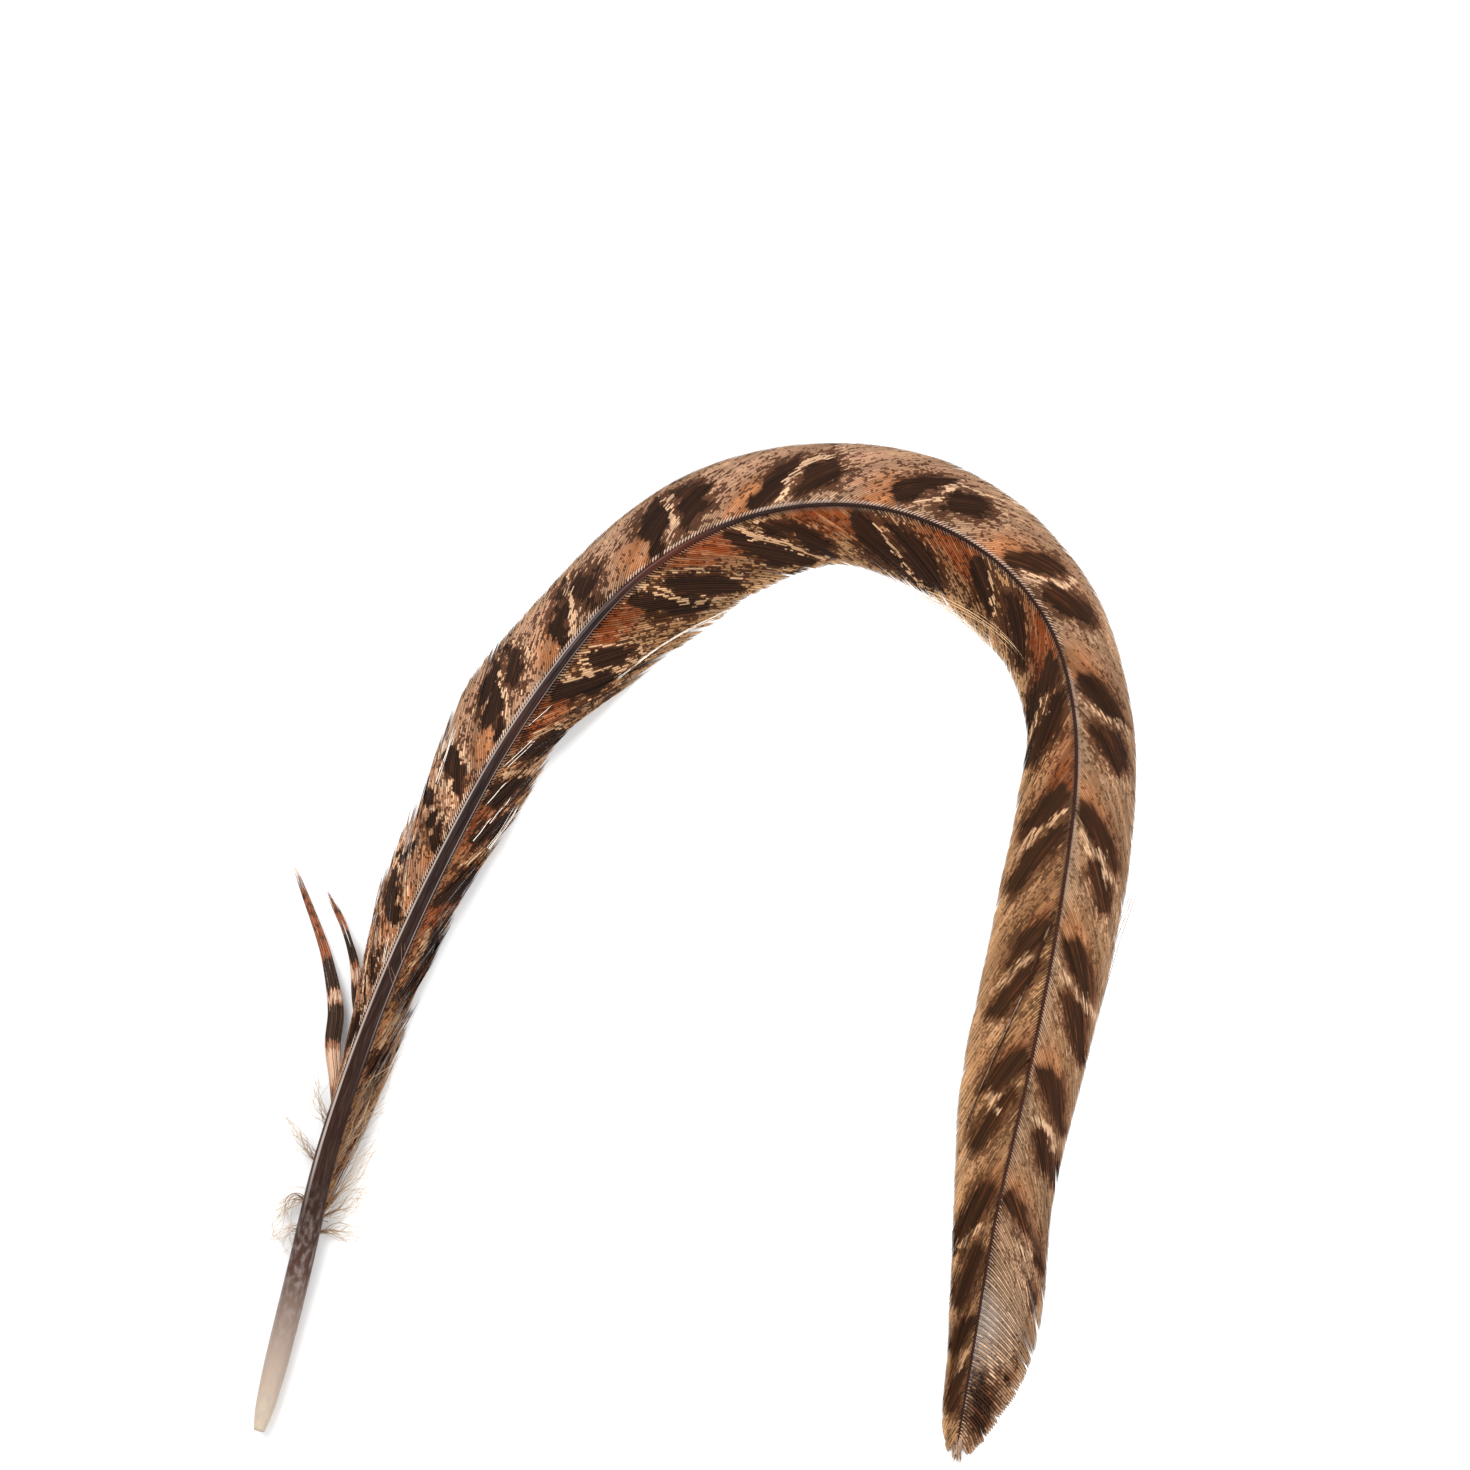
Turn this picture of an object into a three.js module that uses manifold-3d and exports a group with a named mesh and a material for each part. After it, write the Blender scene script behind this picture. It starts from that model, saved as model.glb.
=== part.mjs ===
// A hen pheasant's tail feather, bent into an arch and lying on a flat surface with its upper
// face up. It grew as one piece, so it is one solid: a tapering shaft, a vane on each side of it
// made of overlapping locks of barbs, two locks that have come away from the vane near its base,
// and wisps of down beside the quill.
//
// Millimetres, +Z up. Z = 0 is the surface that the feather lies on, and the origin is on it,
// below the middle of the feather's box. Every part of the feather is laid out along the shaft:
//   along   the distance along the shaft from the end of the quill
//   across  the distance out from the shaft's middle line, positive on the outside of the arch
import * as THREE from 'three';
import { mergeVertices } from 'three/addons/utils/BufferGeometryUtils.js';
import Module from 'manifold-3d';

// ---- Driving dimensions ----

const SHAFT_END = 300; // length of the shaft from the quill's end to the tip, along its curve
const VANE_END = 303.5; // where the two vanes close beyond the shaft's tip
const BARB_REACH = 18; // how far along the shaft a barb runs before it meets the vane's edge
const BARB_BOW = 1.15; // above 1, a barb leaves the shaft steeply and then turns towards the tip
const TIP_TAPER = 30; // over this last stretch of shaft the barbs' reach shrinks to nothing

const LOCK_PITCH = 7.6; // a lock of barbs takes this much of the shaft
const LINES_PER_LOCK = 3; // barb lines modelled in each lock
const LOCK_LIFT = 0.2; // a lock's last line stands this much over the next lock
const LOCK_TEETH = [-0.35, 0, 0.25]; // how far each line of a lock passes the vane's edge
const FULL_TOOTH_WIDTH = 6; // the teeth are smaller where the vane is narrower than this

const VANE_THICKNESS = 0.55;
const RIM_THICKNESS = 0.45; // at the rim, where the vane lies on the surface
const RIM_START = 0.9; // share of a barb's length at which it comes down to the surface
const DROOP = 2.2; // higher keeps the vane flatter near the shaft and steeper at its rim
const VANE_COLUMNS = [0, 0.3, 0.56, 0.76, RIM_START, 1]; // shares of a barb's length

const SHAFT_DEPTH = 1.1; // the shaft's depth as a share of its width
const SHAFT_SIDES = 10;
const SHAFT_STEP = 5;
const VANE_SEAT = 0.15; // the vane joins the shaft this share of its radius above its middle

// The shaft's middle line seen from above, from the quill's end over the arch to the tip.
const SHAFT_ROUTE = [
  [-57.9, -64.1], [-53.0, -44.7], [-48.2, -25.3], [-41.6, -6.4], [-33.4, 11.8], [-23.7, 29.3],
  [-11.7, 45.3], [-4.3, 51.9], [4.4, 56.7], [14.1, 59.2], [24.1, 59.1], [33.6, 56.2],
  [41.9, 50.6], [47.8, 42.7], [50.6, 33.1], [51.1, 23.1], [48.6, 3.3], [44.8, -16.3],
  [40.4, -35.8], [37.1, -55.5], [35.3, -66.8],
];

// [along, value] points; the values between them follow a smooth curve.
const SHAFT_RADIUS = [
  [0, 0.75], [3, 1.25], [10, 1.62], [38, 1.7], [72, 1.2], [105, 0.87], [121, 0.73],
  [150, 0.46], [210, 0.44], [240, 0.4], [275, 0.33], [295, 0.24], [SHAFT_END, 0.16],
];
const SHAFT_HEIGHT = [
  [0, 1.72], [12, 1.82], [38, 3.5], [72, 5.3], [110, 5.1], [150, 4.5], [210, 3.8], [260, 3.0],
  [287, 1.7], [SHAFT_END, 0.75],
];
const OUTER_VANE = {
  side: 1,
  start: 42,
  width: [
    [50, 1.9], [61, 2.2], [70, 4.9], [76, 6.5], [88, 6.9], [100, 9.0], [109, 8.6], [119, 7.5],
    [135, 8.1], [174, 8.3], [188, 7.1], [208, 7.8], [230, 8.1], [249, 7.3], [266, 7.3],
    [278, 8.3], [285, 8.5], [293, 6.6], [299, 3.6], [VANE_END, 0.5],
  ],
};
const INNER_VANE = {
  side: -1,
  start: 26,
  width: [
    [40, 2.9], [51, 4.8], [66, 4.6], [80, 4.8], [90, 5.9], [106, 6.0], [116, 9.1], [129, 10.8],
    [142, 9.7], [156, 7.8], [168, 8.8], [184, 8.2], [203, 6.4], [218, 7.8], [244, 8.7],
    [257, 8.0], [272, 5.3], [288, 3.3], [298, 2.5], [VANE_END, 0.5],
  ],
};

// Splits in the vane's edge, where barbs have unhooked: side, the barb's root along the shaft,
// the shares of the barb between which it is open, and its width at the edge.
const SPLITS = [
  { side: 1, root: 54, from: 0.3, to: 1.1, width: 0.9 },
  { side: 1, root: 81, from: 0.62, to: 1.1, width: 0.8 },
  { side: 1, root: 246, from: 0.78, to: 1.1, width: 0.8 },
  { side: 1, root: 268, from: 0.55, to: 1.1, width: 1.0 },
  { side: -1, root: 36, from: 0.55, to: 1.1, width: 1.0 },
  { side: -1, root: 62, from: 0.55, to: 1.1, width: 0.8 },
  { side: -1, root: 76, from: 0.45, to: 1.1, width: 0.9 },
  { side: -1, root: 86, from: 0.5, to: 1.1, width: 0.9 },
  { side: -1, root: 112, from: 0.78, to: 1.1, width: 0.8 },
];

// Loose locks and wisps: points [x, y, z] along the middle, then the width at the root, at its
// widest and at the end. Each starts inside the shaft or the vane and ends on the surface.
const LOOSE_LOCKS = [
  {
    points: [
      [-46.3, -17.5, 3.4], [-47.2, -12.5, 2.9], [-47.7, -7.9, 2.2], [-48.9, -0.8, 1.3],
      [-51.7, 6.1, 0.7], [-53.3, 11.9, 0.5],
    ],
    widths: [1.2, 2.2, 0.5],
  },
  {
    points: [
      [-43.9, -10.5, 4.2], [-45.0, -4.5, 3.0], [-46.3, 1.5, 1.6], [-49.4, 8.8, 0.5],
    ],
    widths: [0.9, 1.0, 0.5],
  },
];
const WISPS = [
  [[-48.3, -24.5, 3.3], [-49.9, -19.9, 2.4], [-50.7, -16.5, 1.2], [-52.1, -14.8, 0.5]],
  [[-49.3, -29.5, 2.9], [-52.3, -25.2, 2.2], [-54.2, -23.2, 1.1], [-55.7, -22.5, 0.5]],
  [[-50.6, -34.5, 2.6], [-52.6, -33.0, 2.2], [-55.0, -35.2, 1.2], [-55.7, -38.5, 0.5]],
  [[-51.2, -37.5, 2.2], [-53.4, -37.6, 1.5], [-54.6, -40.5, 0.5]],
  [[-49.6, -35.0, 2.5], [-46.3, -31.2, 1.9], [-42.3, -27.2, 1.1], [-39.7, -25.9, 0.5]],
  [[-49.9, -35.8, 2.4], [-46.2, -33.8, 1.5], [-41.8, -31.6, 0.5]],
  [[-48.7, -31.0, 2.9], [-44.6, -25.8, 1.9], [-42.3, -22.4, 0.5]],
  [[-51.0, -37.8, 2.2], [-47.6, -37.4, 1.3], [-43.6, -38.6, 0.5]],
];
const WISP_WIDTHS = [0.9, 0.8, 0.4];
const RIBBON_THICKNESS = 0.5;

const FEATHER_BROWN = 0x7a5236;

// ---- Curves along the feather ----

/** A smooth function through [at, value] points, held level past both ends. */
function profile(points) {
  const slope = (i) => {
    const before = points[Math.max(i - 1, 0)];
    const after = points[Math.min(i + 1, points.length - 1)];
    return (after[1] - before[1]) / (after[0] - before[0]);
  };
  return (at) => {
    if (at <= points[0][0]) return points[0][1];
    if (at >= points.at(-1)[0]) return points.at(-1)[1];
    const i = points.findIndex((point) => point[0] > at) - 1;
    const [start, first] = points[i];
    const [end, second] = points[i + 1];
    const span = end - start;
    const t = (at - start) / span;
    const rise = t * t * (3 - 2 * t);
    return first + (second - first) * rise
      + slope(i) * span * t * (1 - t) ** 2 - slope(i + 1) * span * t * t * (1 - t);
  };
}

const shaftRadius = profile(SHAFT_RADIUS);
const shaftHeight = profile(SHAFT_HEIGHT);
const outerWidth = profile(OUTER_VANE.width);
const innerWidth = profile(INNER_VANE.width);

const route = new THREE.CatmullRomCurve3(
  SHAFT_ROUTE.map(([x, y]) => new THREE.Vector3(x, y, 0)), false, 'centripetal',
);
route.arcLengthDivisions = 2000;
const routeLength = route.getLength();

/** The point at `along` and `across` on the plan of the feather, at height z. */
function place(along, across, z) {
  const share = THREE.MathUtils.clamp(along / routeLength, 0, 1);
  const point = route.getPointAt(share);
  const tangent = route.getTangentAt(share);
  const beyond = Math.max(along - routeLength, 0);
  return new THREE.Vector3(
    point.x + tangent.x * beyond - tangent.y * across,
    point.y + tangent.y * beyond + tangent.x * across,
    z,
  );
}

/** How far along the shaft a barb rooted at `root` has come at a share of its length. */
function barbAlong(root, share) {
  const reach = BARB_REACH * Math.min(1, (VANE_END - root) / TIP_TAPER);
  return root + reach * share ** BARB_BOW;
}

/** The height of a barb's upper side at a share of its length. */
function barbHeight(root, share) {
  const seat = shaftHeight(root) + VANE_SEAT * shaftRadius(root);
  const fall = Math.min(1, share / RIM_START) ** DROOP;
  return RIM_THICKNESS + (seat - RIM_THICKNESS) * (1 - fall);
}

// ---- Closed solids from cross-sections ----

/**
 * Joins cross-sections into one closed geometry. A section is { top, bottom }, two rows of as
 * many points, both listed from the same edge to the other.
 */
function loft(sections) {
  const columns = sections[0].top.length;
  const ring = 2 * columns;
  const positions = sections.flatMap(
    ({ top, bottom }) => [...top, ...[...bottom].reverse()].flatMap((point) => point.toArray()),
  );
  const index = [];
  for (let i = 0; i + 1 < sections.length; i += 1) {
    for (let j = 0; j < ring; j += 1) {
      const a = i * ring + j;
      const b = i * ring + ((j + 1) % ring);
      index.push(a, b, b + ring, a, b + ring, a + ring);
    }
  }
  const last = (sections.length - 1) * ring;
  for (let j = 0; j + 1 < columns; j += 1) {
    const across = ring - 1 - j;
    index.push(j, across - 1, j + 1, j, across, across - 1);
    index.push(last + j, last + j + 1, last + across - 1);
    index.push(last + j, last + across - 1, last + across);
  }
  const geometry = new THREE.BufferGeometry();
  geometry.setAttribute('position', new THREE.Float32BufferAttribute(positions, 3));
  geometry.setIndex(index);
  return geometry;
}

/** Turns every triangle over where the geometry's faces point in. */
function facingOut(geometry) {
  const position = geometry.getAttribute('position');
  const index = geometry.getIndex().array;
  const corner = [new THREE.Vector3(), new THREE.Vector3(), new THREE.Vector3()];
  let volume = 0;
  for (let i = 0; i < index.length; i += 3) {
    corner.forEach((point, k) => point.fromBufferAttribute(position, index[i + k]));
    volume += corner[0].dot(corner[1].clone().cross(corner[2]));
  }
  if (volume < 0) {
    for (let i = 0; i < index.length; i += 3) {
      [index[i + 1], index[i + 2]] = [index[i + 2], index[i + 1]];
    }
  }
  return geometry;
}

// ---- The pieces of the feather ----

/** The shaft, from the rounded end of the quill to its fine tip. */
function shaft() {
  const half = SHAFT_SIDES / 2;
  const section = (along) => {
    const radius = shaftRadius(along);
    const middle = shaftHeight(along);
    const point = (angle) => place(
      along,
      radius * Math.cos(angle),
      Math.max(0, middle + SHAFT_DEPTH * radius * Math.sin(angle)),
    );
    const turn = (j) => (Math.PI * (j + 0.5)) / half;
    return {
      top: Array.from({ length: half }, (_, j) => point(turn(j))),
      bottom: Array.from({ length: half }, (_, j) => point(-turn(j))),
    };
  };
  const steps = Math.round(SHAFT_END / SHAFT_STEP);
  return loft(Array.from({ length: steps + 1 }, (_, i) => section((SHAFT_END * i) / steps)));
}

/** One vane, as barb lines from the shaft to the edge, lifted lock by lock. */
function vane({ side, start }, width) {
  const lineStep = LOCK_PITCH / LINES_PER_LOCK;
  const lines = Math.floor((SHAFT_END - start) / lineStep);
  const sections = Array.from({ length: lines + 1 }, (_, i) => {
    const root = start + (i * (SHAFT_END - start)) / lines;
    const inLock = i % LINES_PER_LOCK;
    const edge = width(barbAlong(root, 1));
    const tooth = LOCK_TEETH[inLock] * Math.min(1, edge / FULL_TOOTH_WIDTH);
    const inner = 0.3 * shaftRadius(root);
    const top = [];
    const bottom = [];
    for (const share of VANE_COLUMNS) {
      const across = side * (inner + (edge + tooth * share - inner) * share);
      const along = barbAlong(root, share);
      const lift = (LOCK_LIFT * inLock * share) / (LINES_PER_LOCK - 1);
      const height = barbHeight(root, share) + lift;
      top.push(place(along, across, height));
      bottom.push(place(along, across, Math.max(0, height - VANE_THICKNESS - lift)));
    }
    return { top, bottom };
  });
  return loft(sections);
}

/** A narrow wedge along one barb, open past the vane's edge, to cut a split with. */
function splitWedge({ side, root, from, to, width }) {
  const vaneWidth = side > 0 ? outerWidth : innerWidth;
  const steps = 6;
  const sections = Array.from({ length: steps + 1 }, (_, i) => {
    const share = from + ((to - from) * i) / steps;
    const along = barbAlong(root, Math.min(share, 1)) + BARB_REACH * Math.max(share - 1, 0);
    const across = side * vaneWidth(barbAlong(root, 1)) * share;
    const half = 0.05 + (width / 2) * ((share - from) / (1 - from));
    const wall = (z) => [place(along, across - half, z), place(along, across + half, z)];
    return { top: wall(12), bottom: wall(-2) };
  });
  return loft(sections);
}

/** A tapering flat ribbon along `points`, no lower than the surface. */
function ribbon(points, [rootWidth, fullWidth, endWidth]) {
  const curve = new THREE.CatmullRomCurve3(points.map((point) => new THREE.Vector3(...point)));
  const width = profile([[0, rootWidth], [0.35, fullWidth], [1, endWidth]]);
  const steps = 3 * (points.length - 1);
  const sections = Array.from({ length: steps + 1 }, (_, i) => {
    const share = i / steps;
    const middle = curve.getPoint(share);
    const tangent = curve.getTangent(share);
    const sideways = new THREE.Vector3(-tangent.y, tangent.x, 0).setLength(width(share) / 2);
    const floor = Math.max(0, middle.z - RIBBON_THICKNESS);
    const edge = (sign, z) => middle.clone().addScaledVector(sideways, sign).setZ(z);
    return {
      top: [edge(-1, middle.z - 0.1), edge(0, middle.z), edge(1, middle.z - 0.1)],
      bottom: [edge(-1, floor), edge(0, floor), edge(1, floor)],
    };
  });
  return loft(sections);
}

// ---- Fusing ----

const wasm = await Module();
wasm.setup();

/** The solid of a closed geometry. */
function solid(geometry) {
  const merged = facingOut(mergeVertices(geometry, 1e-4));
  return new wasm.Manifold(new wasm.Mesh({
    numProp: 3,
    vertProperties: merged.getAttribute('position').array,
    triVerts: new Uint32Array(merged.getIndex().array),
  }));
}

/** The geometry of a solid. */
function geometryOf(manifold) {
  const mesh = manifold.getMesh();
  const geometry = new THREE.BufferGeometry();
  geometry.setAttribute('position', new THREE.BufferAttribute(mesh.vertProperties, 3));
  geometry.setIndex(new THREE.BufferAttribute(mesh.triVerts, 1));
  return geometry;
}

const splitVanes = SPLITS.map(splitWedge).map(solid).reduce(
  (left, wedge) => left.subtract(wedge),
  solid(vane(OUTER_VANE, outerWidth)).add(solid(vane(INNER_VANE, innerWidth))),
);
const fused = [
  shaft(),
  ...LOOSE_LOCKS.map(({ points, widths }) => ribbon(points, widths)),
  ...WISPS.map((points) => ribbon(points, WISP_WIDTHS)),
].map(solid).reduce((whole, piece) => whole.add(piece), splitVanes);
// Crumbs cut loose by a split, and pockets sealed between overlapping locks, are dropped.
const feather = fused.decompose().reduce(
  (largest, piece) => (piece.volume() > largest.volume() ? piece : largest),
);

const featherMesh = new THREE.Mesh(
  geometryOf(feather),
  new THREE.MeshStandardMaterial({ color: FEATHER_BROWN, roughness: 0.6, metalness: 0 }),
);
featherMesh.name = 'tail_feather';

const group = new THREE.Group();
group.add(featherMesh);

export default group;
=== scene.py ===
"""A hen pheasant's tail feather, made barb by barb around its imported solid.

Lengths are in millimetres until a mesh is made, which is in metres. A place on the feather is
given by `along`, the distance along the shaft from the quill's end, and `across`, the distance
out from the shaft's middle line, positive on the outside of the arch.
"""

from __future__ import annotations

import logging
from dataclasses import dataclass, field
from enum import Enum
from typing import Any

import bpy
import numpy as np
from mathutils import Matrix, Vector

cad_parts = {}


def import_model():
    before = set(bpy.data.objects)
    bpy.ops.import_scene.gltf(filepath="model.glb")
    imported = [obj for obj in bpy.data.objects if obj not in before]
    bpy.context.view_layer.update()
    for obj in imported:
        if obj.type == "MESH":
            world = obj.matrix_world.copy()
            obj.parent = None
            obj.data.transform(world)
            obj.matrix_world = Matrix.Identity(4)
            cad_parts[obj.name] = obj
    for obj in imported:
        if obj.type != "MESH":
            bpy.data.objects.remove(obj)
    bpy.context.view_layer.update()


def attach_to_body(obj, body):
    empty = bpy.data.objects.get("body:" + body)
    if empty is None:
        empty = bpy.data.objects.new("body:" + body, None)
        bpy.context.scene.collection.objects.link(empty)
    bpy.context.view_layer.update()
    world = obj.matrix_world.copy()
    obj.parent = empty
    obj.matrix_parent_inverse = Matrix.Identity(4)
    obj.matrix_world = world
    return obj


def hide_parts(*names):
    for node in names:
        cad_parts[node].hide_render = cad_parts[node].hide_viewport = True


MM = 0.001
NODE = "tail_feather"
BODY = "root"
LOWEST = 0.005  # no mesh comes nearer to the floor than this

Knots = tuple[tuple[float, float], ...]
Points = tuple[tuple[float, ...], ...]


# ---------------------------------------------------------------- shapes shared with the solid


class Side(Enum):
    """The two vanes, by the sign of `across`."""

    OUTER = 1
    INNER = -1


def ease(low: float, high: float, value: np.ndarray) -> np.ndarray:
    """Rises smoothly from 0 at low to 1 at high.

    Args:
        low: Where the rise starts.
        high: Where it ends; below low, the value falls instead.
        value: Where to take it.

    Returns:
        Values from 0 to 1.
    """
    share = np.clip((value - low) / (high - low), 0.0, 1.0)
    return share * share * (3.0 - 2.0 * share)


@dataclass(frozen=True)
class Profile:
    """A smooth function through (at, value) knots, level past both ends."""

    knots: Knots

    def __call__(self, at: np.ndarray | float) -> np.ndarray:
        """The value at each place.

        Args:
            at: One place or an array of them.

        Returns:
            The values, in the same shape.
        """
        places, values = np.array(self.knots).T
        before = np.maximum(np.arange(len(places)) - 1, 0)
        after = np.minimum(np.arange(len(places)) + 1, len(places) - 1)
        slopes = (values[after] - values[before]) / (places[after] - places[before])
        at = np.clip(np.asarray(at, float), places[0], places[-1])
        i = np.clip(np.searchsorted(places, at, side="right") - 1, 0, len(places) - 2)
        span = places[i + 1] - places[i]
        t = (at - places[i]) / span
        rise = t * t * (3 - 2 * t)
        return (
            values[i]
            + (values[i + 1] - values[i]) * rise
            + slopes[i] * span * t * (1 - t) ** 2
            - slopes[i + 1] * span * t * t * (1 - t)
        )


def smooth_curve(points: Points, samples: int) -> tuple[np.ndarray, np.ndarray]:
    """A centripetal curve through points, sampled evenly enough to measure along it.

    Args:
        points: The curve's points, in the plane or in space.
        samples: Samples between two points.

    Returns:
        The sampled points, and the distance along the curve at each.
    """
    knots = np.array(points, float)
    knots = np.vstack([2 * knots[0] - knots[1], knots, 2 * knots[-1] - knots[-2]])
    curve = []
    for p0, p1, p2, p3 in zip(knots, knots[1:], knots[2:], knots[3:]):
        d0, d1, d2 = (np.sqrt(np.linalg.norm(b - a)) for a, b in ((p0, p1), (p1, p2), (p2, p3)))
        m1 = d1 * ((p1 - p0) / d0 - (p2 - p0) / (d0 + d1) + (p2 - p1) / d1)
        m2 = d1 * ((p2 - p1) / d1 - (p3 - p1) / (d1 + d2) + (p3 - p2) / d2)
        t = np.linspace(0, 1, samples, endpoint=False)[:, None]
        bend = (2 * t**3 - 3 * t**2 + 1) * p1 + (t**3 - 2 * t**2 + t) * m1
        curve.append(bend + (3 * t**2 - 2 * t**3) * p2 + (t**3 - t**2) * m2)
    path = np.vstack([*curve, knots[-2]])
    steps = np.linalg.norm(np.diff(path, axis=0), axis=1)
    return path, np.concatenate([[0.0], np.cumsum(steps)])


class ShaftLine:
    """The shaft's middle line seen from above."""

    def __init__(self, points: Points) -> None:
        """Samples the line.

        Args:
            points: The line's points, as (x, y).
        """
        self.points, self.at = smooth_curve(points, 80)
        self.tangents = np.gradient(self.points, self.at, axis=0)

    def place(self, along: np.ndarray, across: np.ndarray, height: np.ndarray) -> np.ndarray:
        """Points in space for places on the feather.

        Args:
            along: Distances along the shaft.
            across: Distances out from it.
            height: Heights above the surface.

        Returns:
            An array of the same shape with x, y, z as its last axis.
        """
        along, across, height = np.broadcast_arrays(along, across, height)
        x, y = (np.interp(along, self.at, self.points[:, k]) for k in (0, 1))
        tx, ty = (np.interp(along, self.at, self.tangents[:, k]) for k in (0, 1))
        beyond = np.maximum(along - self.at[-1], 0.0) + np.minimum(along, 0.0)
        return np.stack(
            [x + tx * beyond - ty * across, y + ty * beyond + tx * across, height], axis=-1
        )


@dataclass(frozen=True)
class FeatherPlan:
    """The sizes that the whole feather is laid out from, as its solid is."""

    shaft_end: float = 300.0
    vane_end: float = 303.5
    barb_reach: float = 18.0
    barb_bow: float = 1.15
    tip_taper: float = 30.0
    rim_height: float = 0.45
    rim_start: float = 0.9
    droop: float = 2.2
    vane_seat: float = 0.15
    shaft_depth: float = 1.1
    shaft_squareness: float = 2.5
    line: ShaftLine = field(default_factory=lambda: ShaftLine((
        (-57.9, -64.1), (-53.0, -44.7), (-48.2, -25.3), (-41.6, -6.4), (-33.4, 11.8),
        (-23.7, 29.3), (-11.7, 45.3), (-4.3, 51.9), (4.4, 56.7), (14.1, 59.2), (24.1, 59.1),
        (33.6, 56.2), (41.9, 50.6), (47.8, 42.7), (50.6, 33.1), (51.1, 23.1), (48.6, 3.3),
        (44.8, -16.3), (40.4, -35.8), (37.1, -55.5), (35.3, -66.8),
    )))
    radius: Profile = Profile((
        (0, 0.75), (3, 1.25), (10, 1.6), (30, 1.62), (38, 1.55), (50, 1.4), (60, 1.28), (72, 1.18),
        (105, 0.87), (121, 0.7), (140, 0.4), (150, 0.31), (170, 0.26), (240, 0.24), (275, 0.22),
        (295, 0.18), (300, 0.13),
    ))
    height: Profile = Profile((
        (0, 1.72), (12, 1.82), (38, 3.5), (72, 5.3), (110, 5.1), (150, 4.5), (210, 3.8),
        (260, 3.0), (287, 1.7), (300, 0.75),
    ))

    def barb_along(self, root: np.ndarray, share: np.ndarray) -> np.ndarray:
        """How far along the shaft barbs have come at a share of their length.

        Args:
            root: Where each barb leaves the shaft.
            share: Shares of the barb's length.

        Returns:
            Distances along the shaft.
        """
        reach = self.barb_reach * np.minimum(1.0, (self.vane_end - root) / self.tip_taper)
        return root + reach * share**self.barb_bow

    def barb_height(self, root: np.ndarray, share: np.ndarray) -> np.ndarray:
        """The height of barbs at a share of their length, lying on the surface at the rim.

        Args:
            root: Where each barb leaves the shaft.
            share: Shares of the barb's length.

        Returns:
            Heights above the surface.
        """
        seat = self.height(root) + self.vane_seat * self.radius(root)
        fall = np.minimum(1.0, share / self.rim_start) ** self.droop
        return self.rim_height + (seat - self.rim_height) * (1 - fall)


# ---------------------------------------------------------------- markings


def patches(x: np.ndarray, y: np.ndarray, seed: int) -> np.ndarray:
    """Smooth random values from -1 to 1 over a plane, alike within about one unit.

    Args:
        x: First coordinates.
        y: Second coordinates.
        seed: The pattern's seed.

    Returns:
        The values.
    """
    size = 128
    grid = np.random.default_rng(seed).uniform(-1, 1, (size, size))
    i, j = np.floor(x).astype(int), np.floor(y).astype(int)
    u, v = x - i, y - j
    u, v = u * u * (3 - 2 * u), v * v * (3 - 2 * v)
    near = grid[i % size, j % size] * (1 - u) + grid[(i + 1) % size, j % size] * u
    far = grid[i % size, (j + 1) % size] * (1 - u) + grid[(i + 1) % size, (j + 1) % size] * u
    return near * (1 - v) + far * v


@dataclass(frozen=True)
class Bar:
    """One bar of a vane: a dark band, a buff line and a second dark blotch beyond it.

    Each is a stroke through (along, across, half-width) points.
    """

    first: Points
    line: Points
    second: Points


def stroke_depth(stroke: Points, along: np.ndarray, across: np.ndarray) -> np.ndarray:
    """How deep inside a stroke each place is.

    Args:
        stroke: The stroke's (along, across, half-width) points.
        along: Distances along the shaft.
        across: Distances out from it, on the stroke's own side.

    Returns:
        Millimetres inside the stroke's outline, negative outside it.
    """
    depth = np.full(along.shape, -99.0)
    for (a0, c0, w0), (a1, c1, w1) in zip(stroke, stroke[1:]):
        run, rise = a1 - a0, c1 - c0
        t = ((along - a0) * run + (across - c0) * rise) / (run * run + rise * rise)
        t = np.clip(t, 0.0, 1.0)
        away = np.hypot(along - a0 - t * run, across - c0 - t * rise)
        depth = np.maximum(depth, w0 + (w1 - w0) * t - away)
    return depth


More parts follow.
